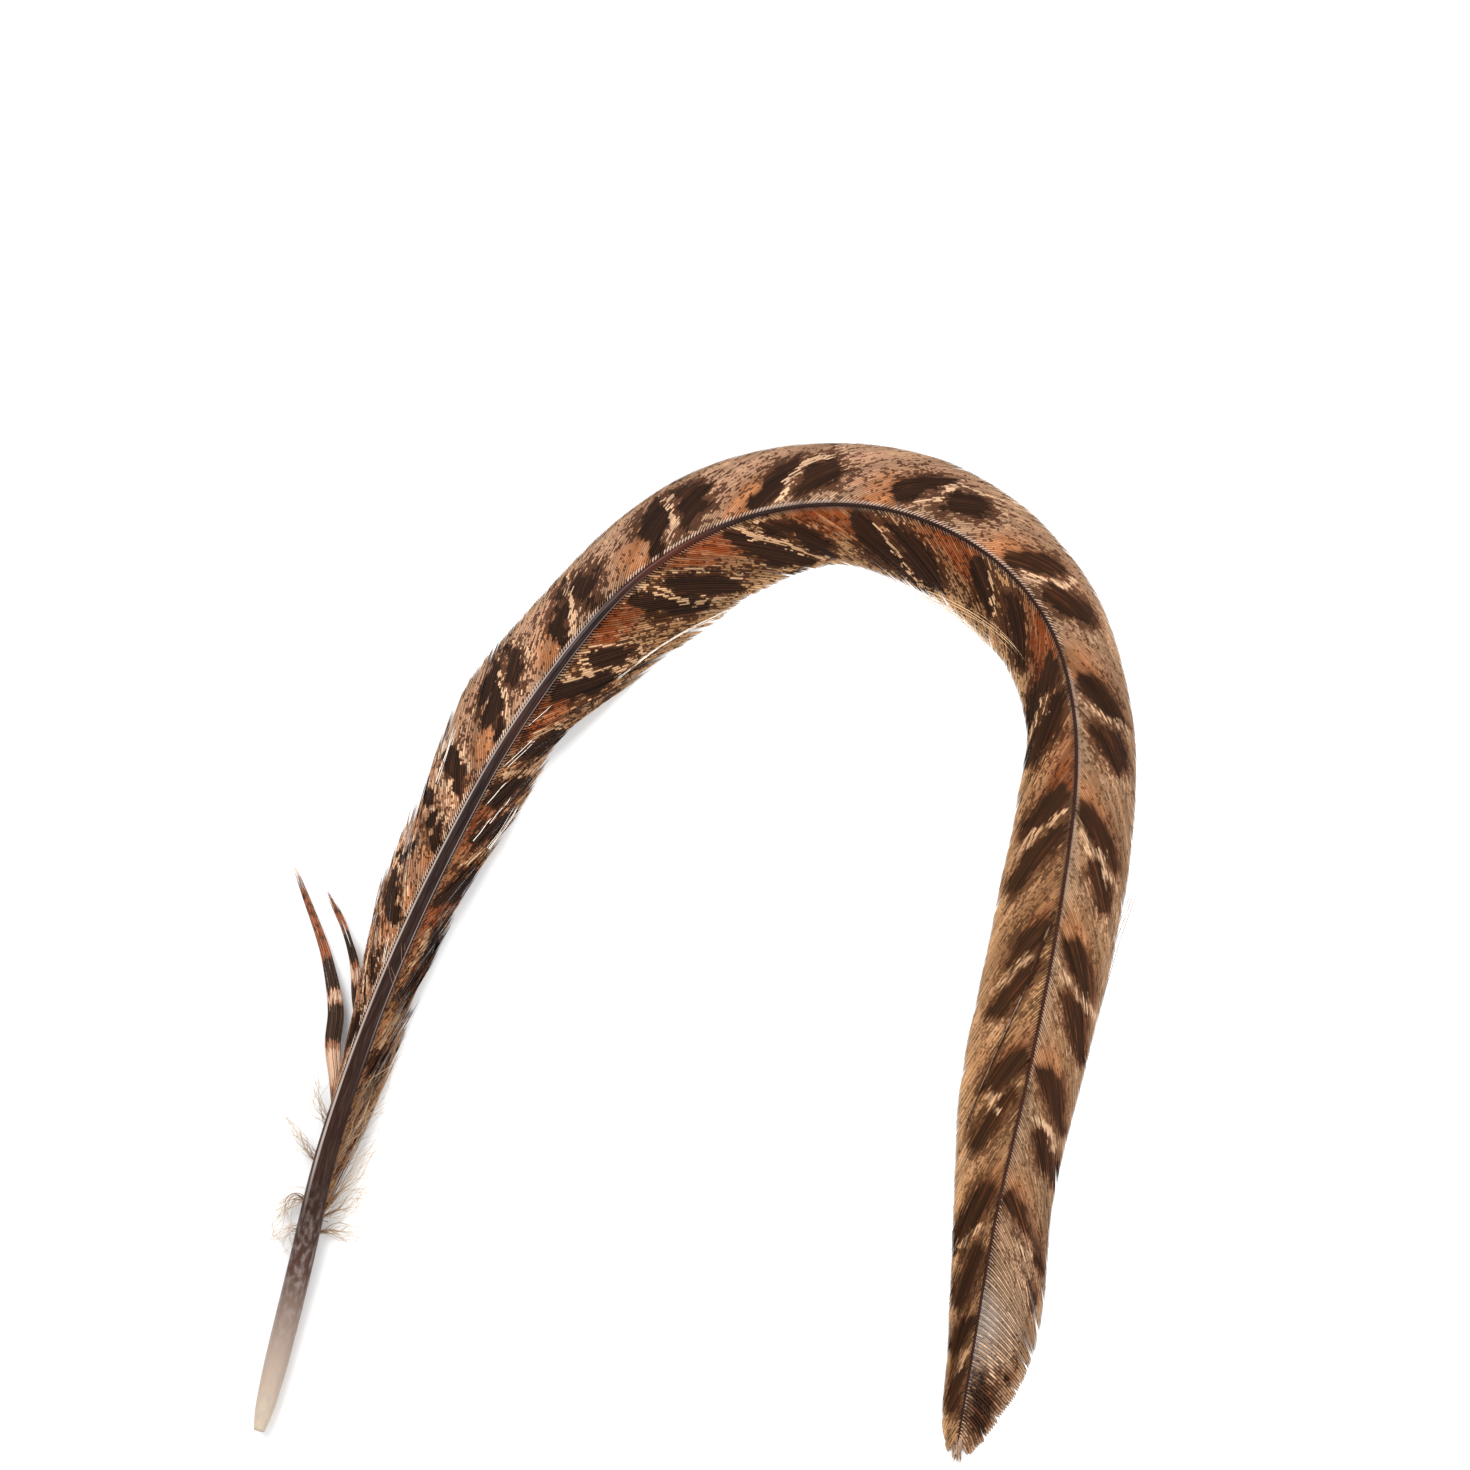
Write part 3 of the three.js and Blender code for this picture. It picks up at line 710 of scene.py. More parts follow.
@dataclass
class Vane:
    """One vane: several hundred barbs hooked together in clumps."""

    name: str
    side: Side
    start: float
    width: Profile
    markings: Markings
    splits: tuple[Split, ...]
    looseness: Profile
    fullness: Profile
    seat: Profile
    flare: Profile
    seed: int
    spacing: float = 0.46
    rings: int = 44
    belly: float = 0.32
    overlap: float = 0.68
    widest: float = 0.2
    ridge: float = 0.055
    # painted highlight on each barb's ridge against painted shade on its edges
    painted_crest_shade: float = 0.55
    fine_comb: float = 0.4
    clump: tuple[int, int] = (4, 12)
    shingle: float = 0.1
    lift: float = 0.16
    length_spread: float = 0.01
    dye_shift: float = 0.3
    end_gap: float = 0.2

    def build(self, plan: FeatherPlan) -> bpy.types.Object:
        """Builds the vane's barbs as one object.

        Args:
            plan: The feather's sizes.

        Returns:
            The object.
        """
        rng = np.random.default_rng(self.seed)
        roots = np.arange(self.start, plan.shaft_end - self.end_gap, self.spacing)
        count = len(roots)
        root = roots[:, None]
        share = np.linspace(0.0, 1.0, self.rings)[None, :]
        loose = self.looseness(root)
        shift, lift = self.clumps(roots, share, loose, rng)
        length = 1 + loose * self.length_spread * rng.normal(size=roots.shape)[:, None]
        length = length + self.length_spread * drift(rng, count, 6)[:, None]

        along = root + self.flare(root) * (plan.barb_along(root, share) - root)
        inner = self.seat(root) * plan.radius(root)
        edge = self.width(along[:, -1:])
        out = share + self.belly * share * (1 - share)
        across = inner + (edge - inner) * out
        height = self.heights(plan, root, share)
        clean = plan.line.place(along, self.side.value * across, height)

        wander = drift(rng, count, 1.3)[:, None]
        bend = drift(rng, count, 1.0)[:, None]
        frayed = np.maximum(loose - 0.8, 0.0)
        along_now = along + shift + loose * 0.12 * wander * ease(0.1, 1.0, share)
        along_now = along_now + frayed * 0.5 * bend * np.sin(2.2 * np.pi * share) * share
        across_now = inner + (edge * length - inner) * out
        across_now = across_now - frayed * 0.25 * np.abs(wander) * share**2
        ripple = 0.04 * drift(rng, count, 1.6)[:, None] * ease(0.02, 0.3, share)
        height_now = np.maximum(height + lift + loose * ripple, 0.07)
        centre = plan.line.place(along_now, self.side.value * across_now, height_now)
        points = self.sections(root, share, centre, clean)

        steps = np.diff(clean, axis=1, prepend=clean[:, :1])
        distance = np.linalg.norm(steps, axis=-1).cumsum(1) + 0.4 * ease(256.0, 270.0, root)
        dye = 0.8 * drift(rng, count, 0.6) + 0.6 * drift(rng, count, 2.4)
        dye = (self.dye_shift * dye)[:, None]
        fields = self.markings.paint(along + dye * 0.92, across + dye * 0.38, share + 0 * root)
        tone = 0.5 + 0.2 * drift(rng, count, 0.8) + 0.14 * drift(rng, count, 2.2)
        every_other = (np.arange(count) % 2 - 0.5)[:, None]
        combed = self.markings.bleach(along) + self.fine_comb * self.markings.gold(along)
        tone = tone[:, None] + every_other * combed
        fields["barb"] = barb_field(root, distance, tone, self.painted_crest_shade)
        return tube_object(self.name, points, fields)

    def heights(self, plan: FeatherPlan, root: np.ndarray, share: np.ndarray) -> np.ndarray:
        """The heights of tidy barbs, which climb onto the shaft at their roots.

        Args:
            plan: The feather's sizes.
            root: Where each barb leaves the shaft.
            share: Shares of the barb's length.

        Returns:
            Heights above the surface.
        """
        power = plan.shaft_squareness
        climb = plan.shaft_depth * (1 - self.seat(root) ** power) ** (1 / power) - plan.vane_seat
        onto_shaft = (climb * plan.radius(root) + 0.03) * ease(0.075, 0.015, share)
        return plan.barb_height(root, share) - 0.33 * ease(0.5, 1.0, share) + onto_shaft

    def sections(
        self, root: np.ndarray, share: np.ndarray, centre: np.ndarray, clean: np.ndarray
    ) -> np.ndarray:
        """The barbs' sections, as wide as it takes to lie over their neighbours.

        Args:
            root: Where each barb leaves the shaft.
            share: Shares of the barb's length.
            centre: The barbs' middle lines.
            clean: Where they would run in a tidy vane.

        Returns:
            Points shaped (strands, rings, 3, 3).
        """
        next_barb = np.gradient(clean, axis=0)
        forward = unit(np.gradient(clean, axis=1))
        away = next_barb - forward * (next_barb * forward).sum(-1, keepdims=True)
        gap = np.linalg.norm(away, axis=-1)
        taper = ease(1.03, 0.9, share)
        half_width = np.minimum(self.overlap * gap, self.widest)
        half_width = half_width * (0.5 + 0.5 * ease(0.0, 0.08, share))
        half_width = half_width * self.fullness(root + 6 * share) * (0.15 + 0.85 * taper)
        ridge = self.ridge * (0.35 + 0.65 * taper) * np.ones_like(root)
        return barb_rings(centre, next_barb, half_width, ridge)

    def clumps(
        self, roots: np.ndarray, share: np.ndarray, loose: np.ndarray, rng: np.random.Generator
    ) -> tuple[np.ndarray, np.ndarray]:
        """Draws neighbouring barbs together into clumps, and opens the splits between them.

        Args:
            roots: Where the barbs leave the shaft.
            share: Shares of the barb's length.
            loose: How loose the vane is at each root.
            rng: The random source.

        Returns:
            How far each barb moves along the shaft at each share, and how far it lifts.
        """
        count = len(roots)
        edges = {0, count}
        at = 0
        while at < count:
            at += int(rng.integers(*self.clump))
            edges.add(min(at, count))
        for split in self.splits:
            at = int(np.searchsorted(roots, split.root))
            edges = {e for e in edges if abs(e - at) > 2 or e in (0, count)} | {at}
        bounds = sorted(edges)
        shift = np.zeros((count, share.shape[1]))
        lift = np.zeros_like(shift)
        for first, last in zip(bounds, bounds[1:]):
            middle = 0.5 * (roots[first] + roots[last - 1])
            part = slice(first, last)
            opens = ease(rng.uniform(0.45, 0.85), 1.0, share)
            pull = -(roots[part, None] - middle) * rng.uniform(0.05, 0.3)
            sway = 0.3 * rng.normal()
            shift[part] = loose[part] * (pull + sway) * opens
            tilt = np.linspace(-1, 1, last - first)[:, None] * self.shingle
            raise_by = rng.uniform(0, self.lift)
            lift[part] = (loose[part] * (raise_by + tilt)) * ease(0.05, 0.5, share)
        for split in self.splits:
            away = roots[:, None] - split.root
            push = np.sign(away + 1e-6) * np.exp(-((away / 2.6) ** 2)) * split.gap
            middle = 0.5 * (split.start + min(split.end, 1.0))
            opens = ease(split.start, middle, share)
            if split.end < 1.0:
                opens = opens * ease(split.end, middle, share)
            shift += push * opens
        return shift, lift


@dataclass
class LooseLock:
    """A lock of barbs that has come away from its vane, banded along its own length.

    The profiles are over the distance along the lock; `dark` and `buff` are depths, positive
    inside the band.
    """

    name: str
    guide: Points
    width: Profile
    strands: int
    dark: Profile
    buff: Profile
    warm: Profile
    seed: int
    rings: int = 56
    thickness: float = 0.3
    frizz: float = 0.14
    barb_half: float = 0.12
    on_vane: bool = False

    def build(self, plan: FeatherPlan) -> bpy.types.Object:
        """Builds the lock's barbs as one object.

        Args:
            plan: The feather's sizes; the guide is in its terms where the lock is on the vane.

        Returns:
            The object.
        """
        rng = np.random.default_rng(self.seed)
        path, at = smooth_curve(self.guide, 40)
        if self.on_vane:
            path = plan.line.place(*path.T)
        count = self.strands
        lane = np.linspace(-1, 1, count)[:, None] + 0.25 / count * rng.normal(size=(count, 1))
        ends = 1 - 0.12 * rng.random((count, 1)) ** 2 - 0.04 * np.abs(lane)
        share = np.linspace(0, 1, self.rings)[None, :] * ends
        distance = share * at[-1]
        centre = np.stack([np.interp(distance, at, path[:, k]) for k in range(3)], axis=-1)
        forward = unit(np.gradient(centre, axis=1))
        sideways = unit(np.cross(forward, [0.0, 0.0, 1.0]))
        turns = rng.uniform(0.6, 1.8, (count, 1))
        phase = rng.random((count, 1))
        wave = np.sin(2 * np.pi * (share * turns + phase))
        offset = lane * self.width(distance) / 2 + self.frizz * wave * share
        rise = self.thickness * (1 - lane**2) * rng.random((count, 1)) * ease(0.0, 0.15, share)
        centre = centre + sideways * offset[..., None]
        centre[..., 2] = np.maximum(centre[..., 2] + rise, 0.12)
        taper = ease(1.0, 0.82, share / ends)
        half = self.barb_half * (0.6 + 0.4 * self.width(distance) / 2) * (0.12 + 0.88 * taper)
        points = barb_rings(centre, sideways, half, half * 0.6)
        dye = distance + 0.45 * rng.normal(size=(count, 1))
        plain = np.zeros_like(dye)
        tone = 0.5 + 0.25 * rng.normal(size=(count, 1))
        number = 37.0 * self.seed + 0.4 * np.arange(count)[:, None]
        fields = {
            "marks": np.stack([self.dark(dye), self.buff(dye), plain + 0.45], axis=-1),
            "ground": np.stack([self.warm(dye), plain, plain], axis=-1),
            "detail": np.stack([plain, plain, plain], axis=-1),
            # 0.5 is the painted ridge highlight and edge shade on each barb
            "barb": barb_field(number, distance, tone, 0.5),
        }
        return tube_object(self.name, points, fields)


@dataclass(frozen=True)
class Wisp:
    """A tuft of down: filaments that start together and spread along a guide."""

    guide: Points
    strands: int
    spread: float


@dataclass
class Down:
    """All the down beside the quill: filaments, each with its fringe of finer hairs."""

    name: str
    wisps: tuple[Wisp, ...]
    seed: int
    rings: int = 26
    thickness: float = 0.05
    curl: float = 2.1
    hairs: int = 9
    hair_rings: int = 5
    hair_length: float = 0.7
    hair_thickness: float = 0.016

    def build(self) -> list[bpy.types.Object]:
        """Builds the filaments and their hairs.

        Returns:
            The two objects.
        """
        rng = np.random.default_rng(self.seed)
        filaments = np.concatenate([self.filaments(wisp, rng) for wisp in self.wisps])
        hairs = self.fringe(filaments, rng)
        return [
            self.dress(self.name + "_filaments", filaments, self.thickness, 0.0),
            self.dress(self.name + "_hairs", hairs, self.hair_thickness, 0.5),
        ]

    def filaments(self, wisp: Wisp, rng: np.random.Generator) -> np.ndarray:
        """The middle lines of one wisp's filaments.

        Args:
            wisp: The wisp.
            rng: The random source.

        Returns:
            Points shaped (strands, rings, 3).
        """
        path, at = smooth_curve(wisp.guide, 30)
        count = wisp.strands
        reach = 1 - 0.45 * rng.random((count, 1)) ** 1.5
        share = np.linspace(0, 1, self.rings)[None, :]
        distance = share * reach * at[-1]
        centre = np.stack([np.interp(distance, at, path[:, k]) for k in range(3)], axis=-1)
        forward = unit(np.gradient(centre, axis=1))
        sideways = unit(np.cross(forward, [0.0, 0.0, 1.0]))
        fan = wisp.spread * rng.normal(size=(count, 1)) * share**1.3
        turns = rng.uniform(0.4, 1.5, (count, 1))
        phase = rng.random((count, 1))
        wave = self.curl * np.sin(2 * np.pi * (turns * share + phase)) * share
        rise = 0.6 * np.abs(rng.normal(size=(count, 1))) * np.sin(np.pi * share)
        centre = centre + sideways * (fan + wave * 0.5)[..., None]
        slide = 0.8 * rng.normal(size=(count, 1))
        centre = centre + forward * slide[..., None]
        centre[..., 2] = np.maximum(centre[..., 2] + rise, 0.1)
        return centre

    def fringe(self, filaments: np.ndarray, rng: np.random.Generator) -> np.ndarray:
        """The middle lines of the short hairs along each filament.

        Args:
            filaments: The filaments' middle lines.
            rng: The random source.

        Returns:
            Points shaped (strands, rings, 3).
        """
        count = len(filaments)
        seat = np.sort(rng.uniform(0.15, 1.0, (count, self.hairs)), axis=1) * (self.rings - 1)
        low = np.minimum(seat.astype(int), self.rings - 2)
        rows = np.arange(count)[:, None]
        start = filaments[rows, low]
        ahead = filaments[rows, low + 1] - start
        start = start + ahead * (seat - low)[..., None]
        ahead = unit(ahead)
        flat = unit(np.cross(ahead, [0.0, 0.0, 1.0])) * rng.choice([-1, 1], (count, self.hairs, 1))
        tilt = rng.normal(0, 0.35, (count, self.hairs, 1)) * np.array([0.0, 0.0, 1.0])
        run = np.linspace(0, 1, self.hair_rings)[None, None, :, None]
        length = self.hair_length * rng.uniform(0.4, 1.0, (count, self.hairs, 1, 1))
        out = unit(0.75 * flat + 0.7 * ahead + tilt)[:, :, None, :]
        droop = 0.45 * (ahead - 0.4 * flat)[:, :, None, :]
        hairs = start[:, :, None, :] + length * (run * out + run**2 * droop)
        hairs[..., 2] = np.maximum(hairs[..., 2], 0.06)
        return hairs.reshape(-1, self.hair_rings, 3)

    def dress(
        self, name: str, lines: np.ndarray, thickness: float, paleness: float
    ) -> bpy.types.Object:
        """Makes one object of thin tubes along middle lines.

        Args:
            name: The object's name.
            lines: The middle lines.
            thickness: Half of each tube's width at its root.
            paleness: How pale each tube is at its root, from 0 to 1.

        Returns:
            The object.
        """
        forward = unit(np.gradient(lines, axis=1))
        sideways = unit(np.cross(forward, [0.0, 0.0, 1.0]) + 1e-6)
        share = np.linspace(0, 1, lines.shape[1])[None, :] + np.zeros((len(lines), 1))
        half = thickness * (1 - 0.75 * share)
        points = barb_rings(lines, sideways, half, half * 1.2)
        index = np.arange(len(lines))[:, None] * 0.37
        field_of = barb_field(index, paleness + (1 - paleness) * share, 0.5 + 0 * share, 0.0)
        return tube_object(name, points, {"barb": field_of})


@dataclass
class Shaft:
    """The quill and the rachis: one tapering rod, pitted at its end and grooved below."""

    name: str = "shaft"
    step: float = 0.5
    sides: int = 28
    groove_from: float = 45.0
    groove_depth: float = 0.3
    groove_width: float = 0.32
    pit_radius: float = 0.38
    pit_depth: float = 1.6

    def build(self, plan: FeatherPlan) -> bpy.types.Object:
        """Builds the shaft as one closed object.

        Args:
            plan: The feather's sizes.

        Returns:
            The object.
        """
        turn = np.linspace(0, 2 * np.pi, self.sides, endpoint=False)[None, :]
        along = np.arange(0, plan.shaft_end + self.step / 2, self.step)[:, None]
        radius = plan.radius(along)
        power = 2 / plan.shaft_squareness
        across = radius * np.sign(np.cos(turn)) * np.abs(np.cos(turn)) ** power
        up = np.sign(np.sin(turn)) * np.abs(np.sin(turn)) ** power
        height = plan.height(along) + plan.shaft_depth * radius * up
        depth = self.groove_depth * radius * ease(self.groove_from, self.groove_from + 15, along)
        height = height + depth * np.exp(-((across / (self.groove_width * radius)) ** 2)) * (up < 0)
        body = plan.line.place(along + 0 * turn, across, np.maximum(height, 0.02))

        pit = []
        middle = plan.height(0.0)
        for at, size in ((0.0, self.pit_radius), (self.pit_depth, self.pit_radius * 0.7)):
            ring = middle + size * np.sin(turn)
            pit.append(plan.line.place(at + 0 * turn, size * np.cos(turn), ring))
        points = np.concatenate([pit[1], pit[0], body], axis=0)[None]
        rings = np.concatenate([[0.0, 0.0], along[:, 0]])[:, None]
        around = turn / (2 * np.pi)
        place = np.stack(np.broadcast_arrays(rings, around, 0.0 * rings), axis=-1)
        piece = tube_object(self.name, points, {})
        attribute = piece.data.attributes.new("shaft_place", "FLOAT_VECTOR", "POINT")
        attribute.data.foreach_set("vector", place.astype(np.float32).ravel())
        return piece


# ---------------------------------------------------------------- finishes


def linear(code: str) -> tuple[float, float, float, float]:
    """A scene-linear colour from a six-figure code.

    Args:
        code: The code, such as "a97c56".

    Returns:
        Red, green, blue and 1.
    """
    parts = [int(code[i : i + 2], 16) / 255 for i in (0, 2, 4)]
    red, green, blue = (p / 12.92 if p <= 0.04045 else ((p + 0.055) / 1.055) ** 2.4 for p in parts)
    return red, green, blue, 1.0


class NodeSheet:
    """Adds nodes to one tree in short calls."""

    def __init__(self, tree: bpy.types.NodeTree) -> None:
        """Keeps the tree.

        Args:
            tree: The tree that the nodes go into.
        """
        self.tree = tree

    def add(
        self, kind: str, inputs: dict[Any, Any] | None = None, **settings: Any
    ) -> bpy.types.Node:
        """Adds a node.

        Args:
            kind: The node's type, without "ShaderNode".
            inputs: Its inputs by name or number, each a socket or a value.
            **settings: Its own settings.

        Returns:
            The node.
        """
        prefix = "" if kind.startswith("NodeGroup") else "ShaderNode"
        node = self.tree.nodes.new(prefix + kind)
        for key, value in settings.items():
            setattr(node, key, value)
        for key, value in (inputs or {}).items():
            if isinstance(value, bpy.types.NodeSocket):
                self.tree.links.new(value, node.inputs[key])
            else:
                node.inputs[key].default_value = value
        return node

    def math(self, operation: str, *values: Any) -> bpy.types.NodeSocket:
        """A Math node's result for one to three values or sockets."""
        return self.add("Math", dict(enumerate(values)), operation=operation).outputs[0]

    def times(self, first: Any, second: Any) -> bpy.types.NodeSocket:
        """The product of two values or sockets."""
        return self.math("MULTIPLY", first, second)

    def scaled(self, value: Any, factor: Any, offset: Any) -> bpy.types.NodeSocket:
        """A value times a factor, plus an offset."""
        return self.math("MULTIPLY_ADD", value, factor, offset)

    def less(self, first: Any, second: Any) -> bpy.types.NodeSocket:
        """The first value less the second."""
        return self.math("SUBTRACT", first, second)

    def larger(self, first: Any, second: Any) -> bpy.types.NodeSocket:
        """The larger of two values or sockets."""
        return self.math("MAXIMUM", first, second)

    def step(self, low: Any, high: Any, value: Any) -> bpy.types.NodeSocket:
        """A smooth rise from 0 at low to 1 at high."""
        inputs = {"Value": value, "From Min": low, "From Max": high}
        return self.add("MapRange", inputs, interpolation_type="SMOOTHSTEP").outputs["Result"]

    def mix(self, share: Any, first: Any, second: Any, **settings: Any) -> bpy.types.NodeSocket:
        """A colour between two, by a share."""
        inputs = {0: share, 6: first, 7: second}
        return self.add("Mix", inputs, data_type="RGBA", **settings).outputs[2]

    def noise(
        self, vector: Any, scale: tuple[float, float, float], detail: float
    ) -> bpy.types.NodeSocket:
        """Noise over a stretched vector.

        Args:
            vector: The vector.
            scale: How much each of its axes is stretched.
            detail: How many finer layers the noise has.

        Returns:
            The noise, around 0.5.
        """
        stretched = self.add("VectorMath", {0: vector, 1: scale}, operation="MULTIPLY").outputs[0]
        inputs = {"Vector": stretched, "Scale": 1.0, "Detail": detail, "Roughness": 0.55}
        return self.add("TexNoise", inputs).outputs[0]

    def surface(self, **inputs: Any) -> None:
        """Ends the sheet in a Principled shader, its inputs named with _ for each space."""
        named = {label.replace("_", " "): value for label, value in inputs.items()}
        shader = self.add("BsdfPrincipled", named)
        self.add("OutputMaterial", {"Surface": shader.outputs[0]})


class BarbPigment:
    """The node group that turns a barb's pigment fields into colour, gloss and relief."""

    NAME = "BarbPigment"
    FIELDS = ("Marks", "Ground", "Detail", "Barb")
    COLOURS = ("Dark", "Umber", "Fringe", "Tan", "Chestnut", "Buff", "Rim", "Gold", "Root")
    AMOUNTS = ("Ragged", "Flecks", "Stipple", "Dashes", "Streaks", "Contrast", "Ticks")
    # Each noise's scale from barb to barb, its scale along a barb, and its detail.
    NOISES = {
        "streak": (2.3, 0.45, 3.0), "fleck": (1.3, 0.58, 2.0), "speck": (2.3, 0.95, 1.0),
        "cloud": (0.35, 0.16, 2.0), "mottle": (0.36, 0.42, 2.0), "grain": (5.5, 1.6, 2.0),
        "stipple": (3.6, 2.3, 1.0), "strand": (1.5, 0.1, 3.0), "runs": (2.05, 0.5, 1.0),
    }
    # Each kind of dark spot: its noise, the noise where it starts, its edge and its strength.
    SPOTS = (("fleck", 0.68, 0.035, 0.92), ("speck", 0.675, 0.04, 0.85))
    FRINGE_SPAN = (-1.2, 0.1)
    DOT_SPAN = (0.5, 0.64)
    PALE_SPAN = (0.5, 0.38)
    LINE_SPAN = (0.5, 0.68)
    INK_SPAN = (0.52, 0.68)
    CLOUD_SPAN = (0.2, 0.5)
    TICK_LENGTH = (0.85, 0.42)
    TICK_TONE = (0.28, 0.62)

    def __init__(self) -> None:
        """Makes the sockets, takes the fields apart and lays out the noises."""
        self.tree = bpy.data.node_groups.new(self.NAME, "ShaderNodeTree")
        sockets = (
            ("INPUT", "NodeSocketVector", self.FIELDS),
            ("INPUT", "NodeSocketColor", self.COLOURS),
            ("INPUT", "NodeSocketFloat", self.AMOUNTS),
            ("OUTPUT", "NodeSocketColor", ("Color",)),
            ("OUTPUT", "NodeSocketFloat", ("Roughness", "Relief")),
        )
        for way, kind, labels in sockets:
            for label in labels:
                self.tree.interface.new_socket(label, in_out=way, socket_type=kind)
        self.sheet = NodeSheet(self.tree)
        self.given = self.sheet.add("NodeGroupInput").outputs
        self.marks, self.ground, self.detail, self.barb = (
            self.sheet.add("SeparateXYZ", {0: self.given[label]}).outputs for label in self.FIELDS
        )
        self.golden = self.ground[2]
        self.noises = {
            label: self.sheet.noise(self.given["Barb"], (between, along, 0.0), detail)
            for label, (between, along, detail) in self.NOISES.items()
        }

    def build(self) -> bpy.types.NodeTree:
        """Joins the masks and colours up to the outputs.

        Returns:
            The group.
        """
        grain = self.noises["grain"]
        dark, fringe, buff = self.bars()
        colour = self.sheet.mix(self.pigment(dark, buff), self.base(fringe, buff), self.ink(dark))
        self.sheet.add("NodeGroupOutput", {
            "Color": self.ticked(self.shaded(colour)),
            "Roughness": self.sheet.scaled(grain, 0.25, 0.42),
            "Relief": grain,
        })
        return self.tree

    def bars(self) -> tuple[bpy.types.NodeSocket, ...]:
        """Roughens the bars' edges.

        Returns:
            Masks of the dark bars, of the fringe around them and of the buff lines.
        """
        sheet, speck, smooth = self.sheet, self.noises["speck"], self.detail[0]
        ragged = sheet.times(self.given["Ragged"], sheet.scaled(smooth, -0.75, 1.0))
        wobble = sheet.times(sheet.less(self.noises["streak"], 0.5), ragged)
        depth = sheet.math("ADD", self.marks[0], wobble)
        soft = sheet.scaled(self.golden, 0.22, sheet.scaled(smooth, 0.16, 0.16))
        dark = sheet.step(sheet.times(soft, -1.0), soft, depth)
        fringe = sheet.step(*self.FRINGE_SPAN, depth)
        cut = sheet.scaled(self.golden, sheet.less(self.noises["runs"], speck), speck)
        torn = sheet.scaled(sheet.less(cut, 0.5), sheet.math("ADD", self.golden, 1.3), wobble)
        soft = sheet.scaled(self.golden, 0.3, 0.14)
        line = sheet.math("ADD", self.marks[1], torn)
        return dark, fringe, sheet.step(sheet.times(soft, -1.0), soft, line)

    def pigment(self, dark: Any, buff: Any) -> bpy.types.NodeSocket:
        """Where dark pigment lies: in the bars, spots and dots, but not on the buff lines.

        Args:
            dark: The dark bars' mask.
            buff: The buff lines' mask.

        Returns:
            The mask.
        """
        sheet = self.sheet
        density = sheet.times(self.marks[2], sheet.times(self.noises["mottle"], 2.0))
        crowd = sheet.times(density, self.given["Flecks"])
        spots = []
        for label, start, edge, strength in self.SPOTS:
            limit = sheet.less(start, crowd)
            spot = sheet.step(limit, sheet.math("ADD", limit, edge), self.noises[label])
            spots.append(sheet.times(spot, strength))
        faded = sheet.times(sheet.larger(*spots), sheet.scaled(self.golden, -0.22, 1.0))
        dots = sheet.step(*self.DOT_SPAN, self.noises["stipple"])
        mask = sheet.larger(faded, sheet.times(dots, self.given["Stipple"]))
        return sheet.times(sheet.larger(mask, dark), sheet.less(1.0, buff))

    def base(self, fringe: Any, buff: Any) -> bpy.types.NodeSocket:
        """The ground's colour and the buff lines.

        Args:
            fringe: The mask around the dark bars.
            buff: The buff lines' mask.

        Returns:
            The colour.
        """
        sheet, given, noises = self.sheet, self.given, self.noises
        pale = sheet.step(*self.PALE_SPAN, noises["fleck"])
        pale = sheet.times(pale, sheet.scaled(self.detail[1], 0.6, 0.16))
        dash = sheet.times(self.detail[2], given["Dashes"])
        dash = sheet.times(sheet.step(*self.PALE_SPAN, noises["stipple"]), dash)
        line = sheet.times(sheet.step(*self.LINE_SPAN, noises["strand"]), given["Streaks"])
        warm = sheet.times(self.ground[0], sheet.step(*self.CLOUD_SPAN, noises["cloud"]))
        haze = sheet.times(fringe, sheet.scaled(self.golden, 0.15, 0.4))
        colour = sheet.mix(self.golden, given["Tan"], given["Gold"])
        layers = (
            (warm, "Chestnut"), (sheet.times(self.ground[1], 0.8), "Rim"),
            (sheet.larger(sheet.larger(pale, dash), line), "Buff"), (haze, "Fringe"),
            (buff, "Buff"),
        )
        for mask, label in layers:
            colour = sheet.mix(mask, colour, given[label])
        return colour

    def ink(self, dark: Any) -> bpy.types.NodeSocket:
        """The dark pigment's colour, thinner in streaks and outside the bars.

        Args:
            dark: The dark bars' mask.

        Returns:
            The colour.
        """
        sheet, given = self.sheet, self.given
        thin = sheet.step(*self.INK_SPAN, self.noises["strand"])
        thin = sheet.times(thin, sheet.scaled(self.golden, 0.4, 0.2))
        thin = sheet.larger(thin, sheet.times(sheet.less(1.0, dark), 0.32))
        return sheet.mix(thin, sheet.mix(self.golden, given["Dark"], given["Umber"]), given["Fringe"])

    def shaded(self, colour: Any) -> bpy.types.NodeSocket:
        """A colour made lighter and darker from barb to barb and along each, with the painted
        highlight on each barb's ridge and painted shade on its edges.

        Args:
            colour: The colour.

        Returns:
            The shaded colour.
        """
        sheet = self.sheet
        tone = sheet.scaled(self.noises["grain"], 0.5, 0.15)
        # barb[2] holds each barb's own random tone plus its painted ridge highlight and edge shade
        tone = sheet.scaled(self.barb[2], self.given["Contrast"], tone)
        tone = sheet.scaled(self.noises["strand"], 0.8, tone)
        shade = sheet.add("CombineColor", {0: tone, 1: tone, 2: tone}).outputs[0]
        return sheet.mix(1.0, colour, shade, blend_type="MULTIPLY")

    def ticked(self, colour: Any) -> bpy.types.NodeSocket:
        """A colour with the barbs' pale roots, a tick for each beside the shaft: partly the roots'
        own pale horn, partly a painted highlight where they catch the light.

        Args:
            colour: The colour.

        Returns:
            The colour with the ticks.
        """
        sheet = self.sheet
        tick = sheet.times(sheet.step(*self.TICK_LENGTH, self.barb[1]), self.given["Ticks"])
